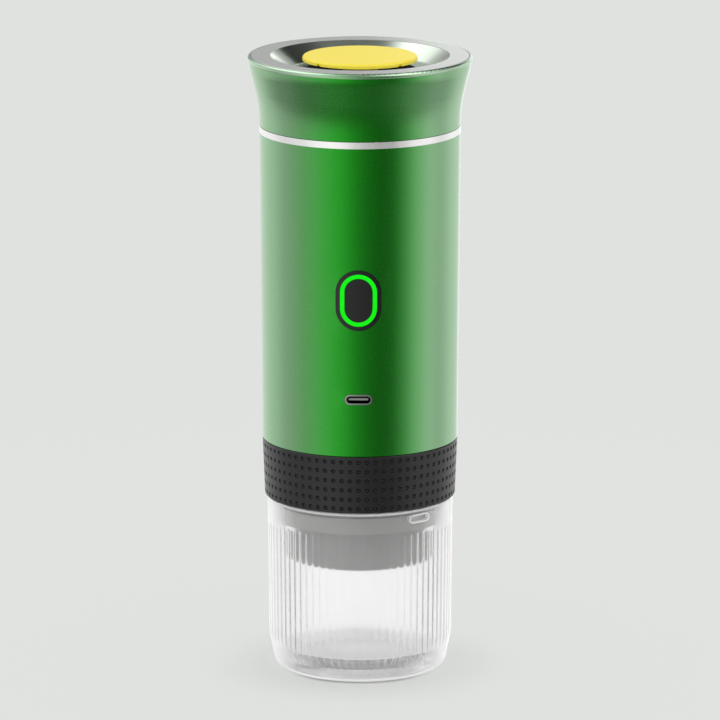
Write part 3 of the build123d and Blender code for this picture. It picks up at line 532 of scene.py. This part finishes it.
class Nodes:
    """Nodes of a material or a world."""

    def __init__(self, tree):
        self.tree = tree

    def add(self, kind):
        """New node of a kind."""
        return self.tree.nodes.new(kind)

    def join(self, value, into):
        """Gives an input a number, a colour or the output of another node."""
        if isinstance(value, NodeSocket):
            self.tree.links.new(value, into)
        elif isinstance(value, (int, float)):
            into.default_value = value
        else:
            into.default_value = [*value, 1.0]

    def math(self, operation, *values):
        """Output of a sum; each value is a number or an output."""
        node = self.add("ShaderNodeMath")
        node.operation = operation
        for socket, value in zip(node.inputs, values):
            self.join(value, socket)
        return node.outputs["Value"]

    def product(self, first, *others):
        """Output of a product; each value is a number or an output."""
        for other in others:
            first = self.math("MULTIPLY", first, other)
        return first

    def distance(self, across, along):
        """Output that gives the distance at the end of two steps at right angles."""
        squares = [self.product(step, step) for step in (across, along)]
        return self.math("SQRT", self.math("ADD", *squares))

    def blend(self, factor, first, second):
        """Colour between two, each a colour or an output."""
        node = self.add("ShaderNodeMix")
        node.data_type = "RGBA"
        for name, value in (("Factor", factor), ("A", first), ("B", second)):
            self.join(value, node.inputs[name])
        return node.outputs["Result"]

    def shine(self, kind, shade):
        """Shader of a kind that gives off a colour."""
        node = self.add(kind)
        self.join(shade, node.inputs["Color"])
        return node.outputs[0]

    def choose(self, factor, first, second):
        """Shader between two."""
        node = self.add("ShaderNodeMixShader")
        for socket, value in zip(node.inputs, (factor, first, second)):
            self.join(value, socket)
        return node.outputs["Shader"]

    def levels(self, value, stops, whole):
        """Grey that follows (degrees, brightness) stops over a value in radians that spans a whole angle."""
        spread = self.add("ShaderNodeMapRange")
        spread.inputs["From Min"].default_value = -radians(whole) / 2
        spread.inputs["From Max"].default_value = radians(whole) / 2
        self.join(value, spread.inputs["Value"])
        ramp = self.add("ShaderNodeValToRGB")
        ramp.color_ramp.interpolation = "EASE"
        points = ramp.color_ramp.elements
        while len(points) < len(stops):
            points.new(1.0)
        for point, (place, level) in zip(points, stops):
            point.position = place / whole + 0.5
            point.color = (level, level, level, 1.0)
        self.join(spread.outputs["Result"], ramp.inputs["Fac"])
        return ramp.outputs["Color"]


class Finish(Nodes):
    """Material with a grain that its colour, gloss and surface follow."""

    def __init__(self, name, grain, stretch=(1, 1, 1)):
        self.material = bpy.data.materials.new(name)
        self.material.use_nodes = True
        super().__init__(self.material.node_tree)
        self.shader = self.tree.nodes["Principled BSDF"]
        self.place = self.add("ShaderNodeTexCoord").outputs["Object"]
        mapping = self.add("ShaderNodeMapping")
        mapping.inputs["Scale"].default_value = [way / grain for way in stretch]
        self.join(self.place, mapping.inputs["Vector"])
        noise = self.add("ShaderNodeTexNoise")
        noise.inputs["Scale"].default_value = 1.0
        noise.inputs["Detail"].default_value = 3.0
        self.join(mapping.outputs["Vector"], noise.inputs["Vector"])
        self.grain = noise.outputs["Fac"]

    def ramp(self, value, low, high, start=0.0, end=1.0):
        """Output that goes smoothly from start to end while a value goes from low to high."""
        node = self.add("ShaderNodeMapRange")
        node.interpolation_type = "SMOOTHSTEP"
        self.join(value, node.inputs["Value"])
        for name, number in (("From Min", low), ("From Max", high), ("To Min", start), ("To Max", end)):
            node.inputs[name].default_value = number
        return node.outputs["Result"]

    def along(self, way):
        """Output that gives the distance along a direction."""
        node = self.add("ShaderNodeVectorMath")
        node.operation = "DOT_PRODUCT"
        self.join(self.place, node.inputs[0])
        node.inputs[1].default_value = way
        return node.outputs["Value"]

    def radius(self):
        """Output that gives the distance from the Z axis."""
        return self.distance(self.along((1, 0, 0)), self.along((0, 1, 0)))

    def glance(self):
        """Output that goes from 0 where the surface is seen face on to 1 where it is seen along."""
        return self.add("ShaderNodeLayerWeight").outputs["Facing"]

    def tone(self, shade, spread, socket="Base Color"):
        """Colour that the grain makes a little darker and lighter."""
        dark = [part * (1 - spread) for part in shade]
        light = [min(part * (1 + spread), 1.0) for part in shade]
        factor = self.ramp(self.grain, *GRAIN_RANGE)
        self.join(self.blend(factor, dark, light), self.shader.inputs[socket])

    def gloss(self, rough, spread):
        """Roughness that varies with the grain."""
        varied = self.ramp(self.grain, *GRAIN_RANGE, rough - spread, rough + spread)
        self.join(varied, self.shader.inputs["Roughness"])

    def paint(self, factor, shade):
        """Another colour, where a factor is 1."""
        socket = self.shader.inputs["Base Color"]
        self.join(self.blend(factor, socket.links[0].from_socket, shade), socket)

    def polish(self, factor, rough):
        """Another roughness, where a factor is 1."""
        socket = self.shader.inputs["Roughness"]
        before = socket.links[0].from_socket
        change = self.product(factor, self.math("SUBTRACT", rough, before))
        self.join(self.math("ADD", before, change), socket)

    def relief(self, depth):
        """Fine relief of a depth."""
        bump = self.add("ShaderNodeBump")
        bump.inputs["Strength"].default_value = 1.0
        bump.inputs["Distance"].default_value = depth
        self.join(self.grain, bump.inputs["Height"])
        self.join(bump.outputs["Normal"], self.shader.inputs["Normal"])

    def set(self, **sockets):
        """Constant values on the shader, named with underscores."""
        for name, value in sockets.items():
            self.shader.inputs[name.replace("_", " ")].default_value = value


def plain_finish(
    name, shade, rough, metal=0.0, grain=0.5, depth=0.004, tone=0.08, gloss=0.05, stretch=(1, 1, 1)
):
    """Finish of a moulded, drawn or plated piece; grain and depth in millimetres."""
    made = Finish(name, grain * MM, stretch)
    made.tone(shade, tone)
    made.gloss(rough, gloss)
    made.relief(depth * MM)
    made.set(Metallic=metal)
    return made


def steel_finish(name, shade, rough=0.3, grain=0.2, **marks):
    """Finish of a steel piece, with the marks of its making."""
    return plain_finish(name, shade, rough, metal=1.0, grain=grain, depth=0.002, **marks)


def seal_finish(name, shade):
    """Finish of a soft seal."""
    return plain_finish(name, shade, 0.6, grain=0.4, depth=0.01)


def dress(nodes, finish):
    """Gives CAD nodes a finish."""
    for name in nodes:
        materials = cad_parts[name].data.materials
        materials.clear()
        materials.append(finish.material)


def head_plastic(head):
    """Grey plastic with a paler collar."""
    made = plain_finish("head_plastic", head.plastic, 0.45)
    low, high = head.collar_radius - head.collar_fade, head.collar_radius + head.collar_fade
    made.paint(made.ramp(made.radius(), low, high), head.collar)
    return made


def anodised_green(body):
    """Satin metal under a clear anodised layer, with a painted highlight: a paler green on the lid's lip."""
    made = plain_finish(
        "anodised_green", body.green, body.satin, metal=1.0, grain=0.35, depth=0.0005, tone=0.05, gloss=0.03
    )
    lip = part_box("lid_shell")[1].z - body.painted_lip_height
    above = made.ramp(made.along((0, 0, 1)), lip - FADE, lip + FADE)
    # Painted highlight: paler green on the lip
    made.paint(above, body.lip)
    glance = made.glance()
    lip_layer = made.product(made.ramp(glance, 0.0, body.lip_glance), above)
    layer = made.math("MAXIMUM", made.ramp(glance, 0.0, body.glance), lip_layer)
    made.join(layer, made.shader.inputs["Coat Weight"])
    made.set(Coat_Roughness=0.22, Coat_IOR=3.4)
    return made


def socket_steel(socket):
    """Plated shell with painted shade: its inside is made dark."""
    made = plain_finish("socket_steel", socket.steel, 0.3, metal=1.0, grain=0.15, depth=0.001)
    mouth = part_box("usb_socket")[0].y
    # Painted shade: dark inside the shell, past its mouth
    made.paint(made.ramp(made.along((0, 1, 0)), mouth + FADE, mouth + 8 * FADE), socket.inside)
    return made


def rim_metal(lid):
    """Metal with a satin ring round a polished dish, with painted shade under the air button, where the dish
    is made near black and rough.
    """
    made = plain_finish(
        "rim_metal", lid.metal, lid.satin, metal=1.0, grain=0.25, depth=0.001, tone=0.04, gloss=0.03
    )
    radius = made.radius()
    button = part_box("vent_button")[1].x
    # Painted reflection: the dish gets the greenish tint and its polish inside the flat ring
    dished = made.ramp(radius, lid.ring_inner - 2 * FADE, lid.ring_inner + 2 * FADE, 1.0, 0.0)
    # Painted shade: mask of the dish under the air button
    painted_shade = made.ramp(radius, button + 3 * FADE, button + 6 * FADE, 1.0, 0.0)
    for where, shade, rough in ((dished, lid.dish, lid.polish), (painted_shade, lid.painted_shade, lid.painted_shade_rough)):
        made.paint(where, shade)
        made.polish(where, rough)
    return made


def clear_plastic(cup):
    """Clear plastic, with painted sheen and highlights: whitish at a glance, round the air slot and the
    floor, and at the foot and rim.
    """
    made = plain_finish("clear_plastic", cup.tint, cup.softness, grain=3.0, depth=0.0, tone=0.01, gloss=0.02)
    made.set(IOR=cup.bending)
    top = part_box("cup")[1].z
    height = made.along((0, 0, 1))
    radius = made.radius()
    fade = 2 * MM

    # Painted sheen: walls whitish at a glance, streaked where the flutes run
    low, high = cup.floor + cup.bevel, top - cup.mouth
    turn = made.math("ARCTAN2", made.along((0, 1, 0)), made.along((1, 0, 0)))
    wave = made.math("COSINE", made.product(turn, cup.flutes))
    crest = made.product(
        made.ramp(wave, -1.0, 1.0, cup.sheen_streaks, 0.0),
        made.ramp(height, low, low + 1.5 * fade),
        made.ramp(height, high - fade, high, 1.0, 0.0),
    )
    wall = made.ramp(radius, cup.floor_radius + fade, cup.floor_radius + 2 * fade, 0.0, cup.painted_glance_sheen)
    white = made.product(made.ramp(made.glance(), 0.2, 0.8), made.math("SUBTRACT", 1.0, crest), wall)

    # Painted highlight on the lip of the air slot
    bow = cup.slot_width / 2
    rise = made.math("SUBTRACT", height, top - cup.slot_drop)
    side = made.math("ABSOLUTE", made.along(polar(1, cup.slot_angle + pi / 2, 0)))
    past = made.math("MAXIMUM", made.math("SUBTRACT", side, cup.slot_length / 2 - bow), 0.0)
    reach = bow + cup.slot_highlight_width
    lip = made.product(
        made.ramp(made.distance(past, rise), reach - FADE, reach + FADE, 1.0, 0.0),
        made.ramp(made.along(polar(1, cup.slot_angle, 0)), 0.0, 5 * fade, 0.0, cup.slot_edge_highlight),
    )

    # Painted highlight on the edge of the floor inside
    level = made.math("ABSOLUTE", made.math("SUBTRACT", height, cup.floor))
    across = made.math("ABSOLUTE", made.math("SUBTRACT", radius, cup.floor_radius))
    edge = made.ramp(made.math("ADD", level, across), 2 * FADE, 6 * FADE, cup.floor_edge_highlight, 0.0)

    # Painted highlights at the foot and rim
    foot = made.product(
        made.ramp(height, cup.foot_highlight_top - 0.7 * fade, cup.foot_highlight_top, 1.0, 0.0),
        made.ramp(radius, cup.floor_radius, cup.floor_radius + fade, 0.0, cup.foot_highlight),
    )
    rim_low = top - cup.rim_highlight_depth
    rim = made.ramp(height, rim_low, rim_low + 2 * FADE, 0.0, cup.rim_highlight)

    for mark in (lip, edge, foot, rim):
        white = made.math("MAXIMUM", white, mark)
    clear = made.product(made.math("SUBTRACT", 1.0, white), cup.clearness)
    made.join(clear, made.shader.inputs["Transmission Weight"])
    return made


def lit_ring(button):
    """Lit diffuser, a little uneven."""
    made = plain_finish("lit_ring", button.unlit, 0.5, grain=1.5, depth=0.001, tone=0.1)
    made.tone(button.light, 0.03, "Emission Color")
    made.set(Emission_Strength=1.0, Specular_IOR_Level=0.1)
    return made


# Stage

FLOOR_POINTS = 96  # points round the floor
FLOOR_DROP = 0.05 * MM  # how far the floor lies under the foot
FLOOR_FADE = 0.4  # share of the floor's radius where it begins to fade
VIEW_END = 20.0  # how far the camera sees, in metres

# Stretches over which the floor's shadow changes, as shares of the cup's radius: the first four bound the
# painted shadow under the foot, the last the fading of the floor's own shadow
PAINTED_SHADOW_INSIDE = (0.7, 0.78)
PAINTED_SHADOW_OUTSIDE = (0.86, 0.95)
PAINTED_SHADOW_SIDES = (0.4, 0.85)
PAINTED_SHADOW_FRONT = (-0.3, 0.3)
SHADOW_END = (1.25, 1.8)


def upper_ring(corner, side):
    """Brightness of an upper ring of panels, from that of its back left corner and of its sides."""
    return (
        (-180, 0.5),
        (-160, 0.45),
        (-145, corner),
        (-110, side),
        (-50, side),
        (-22, 0.8),
        (10, 0.4),
        (34, 0.8),
        (56, side),
        (84, side),
        (106, 0.4),
        (128, 0.05),
        (162, 0.0),
        (180, 0.5),
    )


# Brightness of the studio in the gloss, by the angle round the maker in degrees: the front is 0, +X is 90
GROUND = (
    (-180, 1.0),
    (-145, 0.93),
    (-120, 0.84),
    (-95, 0.6),
    (-71, 0.66),
    (-47, 0.93),
    (-33, 1.0),
    (-18, 0.88),
    (-3, 0.48),
    (9, 0.29),
    (25, 0.17),
    (38, 0.19),
    (52, 0.5),
    (68, 0.85),
    (86, 0.9),
    (106, 0.67),
    (134, 0.92),
    (158, 0.9),
    (170, 1.4),
    (180, 1.0),
)
LEVEL = (
    (-180, 0.5),
    (-165, 0.3),
    (-145, 0.85),
    (-95, 0.6),
    (-33, 1.0),
    (-3, 0.47),
    (25, 0.15),
    (38, 0.16),
    (68, 0.85),
    (134, 0.85),
    (158, 0.95),
    (168, 1.1),
    (175, 0.5),
    (180, 0.5),
)
BELT = (
    (-180, 0.4),
    (-121, 0.3),
    (-94, 0.29),
    (-67, 0.21),
    (-43, 0.22),
    (-21, 0.195),
    (0, 0.17),
    (21, 0.185),
    (43, 0.24),
    (67, 0.37),
    (94, 0.43),
    (121, 0.42),
    (180, 0.4),
)
ROOF = ((-180, 0.16), (180, 0.16))

# What lies over the ground, each with its share by the angle above the horizon
RINGS = (
    (LEVEL, ((-90, 0.0), (-8, 0.0), (0, 1.0), (90, 1.0))),
    (upper_ring(0.9, 0.9), ((-90, 0.0), (5, 0.0), (20, 1.0), (90, 1.0))),
    (
        BELT,
        ((-90, 0.0), (-52, 0.0), (-45, 0.5), (-38, 1.0), (-28, 1.0), (-20, 0.12), (-12, 0.0), (90, 0.0)),
    ),
    (upper_ring(1.2, 2.0), ((-90, 0.0), (22, 0.0), (32, 1.0), (90, 1.0))),
    (ROOF, ((-90, 0.0), (54, 0.0), (74, 1.0), (90, 1.0))),
)


def make_floor(stage):
    """Round pale floor that fades into the backdrop and keeps a soft shadow, with a painted shadow in its
    colour under the foot that camera rays don't see, so it shows through the cup.
    """
    shape = bmesh.new()
    bmesh.ops.create_circle(shape, cap_ends=True, radius=stage.floor_radius, segments=FLOOR_POINTS)
    floor = put("floor", shape)
    floor.location.z = -FLOOR_DROP
    floor.visible_glossy = False
    made = Finish("floor", 40 * MM)
    made.gloss(0.9, 0.05)
    made.set(Specular_IOR_Level=0.0)
    seen = made.add("ShaderNodeLightPath").outputs["Is Camera Ray"]
    radius = made.radius()
    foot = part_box("cup")[1].x

    def stretch(value, ends, start, end):
        """Ramp over a stretch that is given in shares of the cup's radius."""
        return made.ramp(value, ends[0] * foot, ends[1] * foot, start, end)

    # Painted shadow: a darker ring of the floor's colour under the front of the foot
    dark = made.product(
        stretch(radius, PAINTED_SHADOW_INSIDE, 0.0, stage.painted_foot_shadow),
        stretch(radius, PAINTED_SHADOW_OUTSIDE, 1.0, 0.0),
        stretch(made.math("ABSOLUTE", made.along((1, 0, 0))), PAINTED_SHADOW_SIDES, 1.0, 0.0),
        stretch(made.along((0, -1, 0)), PAINTED_SHADOW_FRONT, 0.0, 1.0),
    )
    tint = made.blend(seen, made.math("SUBTRACT", 1.0, dark), stage.backdrop)
    made.join(tint, made.shader.inputs["Base Color"])
    near = stretch(radius, SHADOW_END, stage.shadow, stage.far_shadow * stage.shadow)
    extra = made.product(seen, made.math("SUBTRACT", near, stage.dimming))
    depth = made.math("ADD", extra, stage.dimming)
    shaded = made.choose(depth, made.shine("ShaderNodeEmission", tint), made.shader.outputs["BSDF"])
    fade = made.ramp(radius, FLOOR_FADE * stage.floor_radius, stage.floor_radius)
    clear = made.add("ShaderNodeBsdfTransparent").outputs["BSDF"]
    made.join(made.choose(fade, shaded, clear), made.tree.nodes["Material Output"].inputs["Surface"])
    floor.data.materials.append(made.material)


def make_studio(stage):
    """Soft pale studio with a dark gap to the right of the camera."""
    world = bpy.data.worlds.new("studio")
    world.use_nodes = True
    world.cycles.sampling_method = "NONE"
    bpy.context.scene.world = world
    made = Nodes(world.node_tree)
    made.tree.nodes.clear()
    split = made.add("ShaderNodeSeparateXYZ")
    made.join(made.add("ShaderNodeTexCoord").outputs["Generated"], split.inputs["Vector"])
    around = made.math("ARCTAN2", split.outputs["X"], made.product(split.outputs["Y"], -1))
    above = made.math("ARCSINE", split.outputs["Z"])
    room = made.levels(around, GROUND, 360)
    for panels, part in RINGS:
        room = made.blend(made.levels(above, part, 180), room, made.levels(around, panels, 360))
    gloss, even, backdrop = (
        made.shine("ShaderNodeBackground", shade) for shade in (room, (stage.level,) * 3, stage.backdrop)
    )
    path = made.add("ShaderNodeLightPath").outputs
    light = made.choose(path["Is Glossy Ray"], even, gloss)
    seen = made.choose(path["Is Camera Ray"], light, backdrop)
    made.join(seen, made.add("ShaderNodeOutputWorld").inputs["Surface"])


def make_card(stage):
    """Small pale panel behind the lid, on the right."""
    light = bpy.data.lights.new("card", "AREA")
    light.shape = "RECTANGLE"
    light.size = stage.card_width
    light.size_y = stage.card_height
    light.energy = stage.card_level * pi * stage.card_width * stage.card_height
    card = link("card", light)
    card.location = stage.card_place
    towards = Vector((0, 0, cad_box[1][2])) - card.location
    card.rotation_euler = towards.to_track_quat("-Z", "Y").to_euler()
    card.visible_camera = False


def make_camera(stage):
    """Camera in front of the button, a little above it."""
    lens = bpy.data.cameras.new("camera")
    lens.lens = stage.lens
    lens.clip_end = VIEW_END
    camera = link("camera", lens)
    back = polar(cos(stage.elevation), stage.azimuth - pi / 2, sin(stage.elevation))
    camera.location = back * stage.distance + Vector((0, 0, stage.aim))
    camera.rotation_euler = (-back).to_track_quat("-Z", "Y").to_euler()
    bpy.context.scene.camera = camera


# Steps of the work


class COFFEE_OT_cup(Operator):
    """Builds the clear cup with its flutes and air slot."""

    bl_idname = "coffee_maker.cup"
    bl_label = "Clear cup"

    def execute(self, context):
        cup = context.scene.coffee_maker.cup
        fluted_cup(cup).data.materials.append(clear_plastic(cup).material)
        return {"FINISHED"}


class COFFEE_OT_grip(Operator):
    """Builds the grip band with its dimples."""

    bl_idname = "coffee_maker.grip"
    bl_label = "Grip band"

    def execute(self, context):
        grip = context.scene.coffee_maker.grip
        rubber = plain_finish("grip_rubber", grip.black, 0.34, grain=0.3, depth=0.015, tone=0.15, gloss=0.08)
        dimpled_band(grip).data.materials.append(rubber.material)
        return {"FINISHED"}


class COFFEE_OT_brew_head(Operator):
    """Dresses the brew head, the coffee basket and their seals."""

    bl_idname = "coffee_maker.brew_head"
    bl_label = "Brew head and basket"

    def execute(self, context):
        dress(["brew_head_shell", "outlet_funnel"], head_plastic(context.scene.coffee_maker.head))
        dress(["cup_seal", "head_gasket"], seal_finish("soft_seal", (0.36, 0.36, 0.355)))
        steel = steel_finish("basket_steel", (0.62, 0.62, 0.6), 0.28, **DRAWN)
        dress(["filter_basket", "filter_screen", "shower_plate"], steel)
        return {"FINISHED"}


class COFFEE_OT_body(Operator):
    """Dresses the metal sleeve, the lid's shell and the bright ring between them."""

    bl_idname = "coffee_maker.body"
    bl_label = "Body"

    def execute(self, context):
        body = context.scene.coffee_maker.body
        dress(["body_sleeve", "lid_shell"], anodised_green(body))
        turned = {"grain": 0.3, "depth": 0.001, "tone": 0.02, "gloss": 0.04, "stretch": (1, 1, 0.1)}
        dress(["trim_ring"], plain_finish("bright_trim", body.trim, 0.2, metal=0.75, **turned))
        return {"FINISHED"}


class COFFEE_OT_button(Operator):
    """Dresses the button, its lit ring and its dark frame."""

    bl_idname = "coffee_maker.button"
    bl_label = "Button"

    def execute(self, context):
        button = context.scene.coffee_maker.button
        dress(["power_button"], plain_finish("button_cap", button.black, 0.42, grain=0.25))
        dress(["button_bezel"], plain_finish("button_frame", button.black, 0.3, grain=0.4, depth=0.002))
        dress(["light_ring"], lit_ring(button))
        return {"FINISHED"}


class COFFEE_OT_socket(Operator):
    """Dresses the charging socket."""

    bl_idname = "coffee_maker.socket"
    bl_label = "Charging socket"

    def execute(self, context):
        socket = context.scene.coffee_maker.socket
        dress(["usb_socket"], socket_steel(socket))
        dress(["usb_tongue"], plain_finish("socket_tongue", socket.tongue, 0.5, grain=0.3, depth=0.003))
        return {"FINISHED"}


class COFFEE_OT_lid(Operator):
    """Dresses the lid's plate, its plug and the air valve, and builds the valve's spring."""

    bl_idname = "coffee_maker.lid"
    bl_label = "Lid"

    def execute(self, context):
        settings = context.scene.coffee_maker
        lid = settings.lid
        dress(["lid_rim_plate"], rim_metal(lid))
        yellow = plain_finish("yellow_button", lid.yellow, 0.38, grain=0.4, depth=0.003, tone=0.03)
        dress(["vent_button"], yellow)
        dress(["lid_plug"], plain_finish("lid_plastic", (0.62, 0.62, 0.6), 0.45))
        dress(["lid_seal", "vent_seal"], seal_finish("lid_rubber", (0.5, 0.5, 0.49)))
        steel = steel_finish("valve_steel", (0.6, 0.6, 0.59))
        dress(["vent_stem"], steel)
        lifter = coiled_spring("vent_coil", "vent_spring", "lid", settings.spring)
        lifter.data.materials.append(steel.material)
        return {"FINISHED"}


class COFFEE_OT_tank(Operator):
    """Dresses the water tank, its neck and the heater."""

    bl_idname = "coffee_maker.tank"
    bl_label = "Water tank"

    def execute(self, context):
        steel = steel_finish("tank_steel", (0.6, 0.6, 0.59), grain=0.25, **DRAWN)
        dress(["water_tank", "tank_outlet", "heater_plate"], steel)
        plastic = plain_finish("tank_plastic", (0.6, 0.6, 0.57), 0.5)
        dress(["tank_collar", "tank_jacket", "thermostat"], plastic)
        dress(["tank_seal"], seal_finish("tank_rubber", (0.5, 0.5, 0.49)))
        return {"FINISHED"}


class COFFEE_OT_works(Operator):
    """Dresses the pump, the batteries and the circuit board, and builds the pump's spring."""

    bl_idname = "coffee_maker.works"
    bl_label = "Inner works"

    def execute(self, context):
        spring = context.scene.coffee_maker.spring
        black = plain_finish("inner_plastic", (0.035, 0.035, 0.037), 0.5)
        dress(["base_housing", "battery_holder_lower", "battery_holder_upper", "holder_pillars"], black)
        steel = steel_finish("plated_steel", (0.58, 0.57, 0.55))
        dress(["shower_screws", "pillar_screws", "cell_contacts", "pump_plunger"], steel)
        lifter = coiled_spring("plunger_coil", "pump_spring", "machine_body", spring)
        lifter.data.materials.append(steel.material)
        dress(["pump_housing"], plain_finish("pump_plastic", (0.66, 0.66, 0.64), 0.4))
        wound = {"grain": 0.35, "depth": 0.05, "tone": 0.3, "gloss": 0.1, "stretch": (0.02, 0.02, 1)}
        dress(["pump_coil"], plain_finish("coil_wire", (0.6, 0.22, 0.08), 0.35, metal=1.0, **wound))
        dress(["outlet_valve", "suction_hose"], plain_finish("hose_rubber", (0.55, 0.55, 0.52), 0.5))
        dress(["battery_cells"], plain_finish("cell_wrap", (0.02, 0.09, 0.3), 0.35, grain=0.6, depth=0.003))
        board = plain_finish("board_lacquer", (0.01, 0.09, 0.025), 0.35, grain=0.8, depth=0.01, tone=0.3)
        dress(["main_board"], board)
        dress(["tact_switch", "switch_plunger"], plain_finish("switch_plastic", (0.02, 0.02, 0.02), 0.4))
        dress(["status_leds"], plain_finish("lamp_resin", (0.8, 0.8, 0.66), 0.3))
        return {"FINISHED"}


class COFFEE_OT_stage(Operator):
    """Sets up the floor, the light and the camera."""

    bl_idname = "coffee_maker.stage"
    bl_label = "Stage"

    def execute(self, context):
        for make in (make_floor, make_studio, make_card, make_camera):
            make(context.scene.coffee_maker.stage)
        context.scene.view_settings.view_transform = "Standard"
        return {"FINISHED"}


STEPS = (
    COFFEE_OT_cup,
    COFFEE_OT_grip,
    COFFEE_OT_brew_head,
    COFFEE_OT_body,
    COFFEE_OT_button,
    COFFEE_OT_socket,
    COFFEE_OT_lid,
    COFFEE_OT_tank,
    COFFEE_OT_works,
    COFFEE_OT_stage,
)


class COFFEE_PT_panel(Panel):
    """Sidebar panel that lists the steps."""

    bl_idname = "COFFEE_PT_panel"
    bl_label = "Portable coffee maker"
    bl_space_type = "VIEW_3D"
    bl_region_type = "UI"
    bl_category = "Coffee maker"

    def draw(self, context):
        for step in STEPS:
            self.layout.operator(step.bl_idname)


CLASSES = (
    CupSettings,
    GripSettings,
    HeadSettings,
    BodySettings,
    ButtonSettings,
    SocketSettings,
    LidSettings,
    SpringSettings,
    StageSettings,
    CoffeeMakerSettings,
    *STEPS,
    COFFEE_PT_panel,
)


def register():
    for kind in CLASSES:
        bpy.utils.register_class(kind)
    bpy.types.Scene.coffee_maker = PointerProperty(type=CoffeeMakerSettings)


def unregister():
    del bpy.types.Scene.coffee_maker
    for kind in reversed(CLASSES):
        bpy.utils.unregister_class(kind)


def main():
    """Runs every step."""
    register()
    for step in STEPS:
        getattr(bpy.ops.coffee_maker, step.bl_idname.split(".")[1])()


if __name__ == "__main__":
    main()
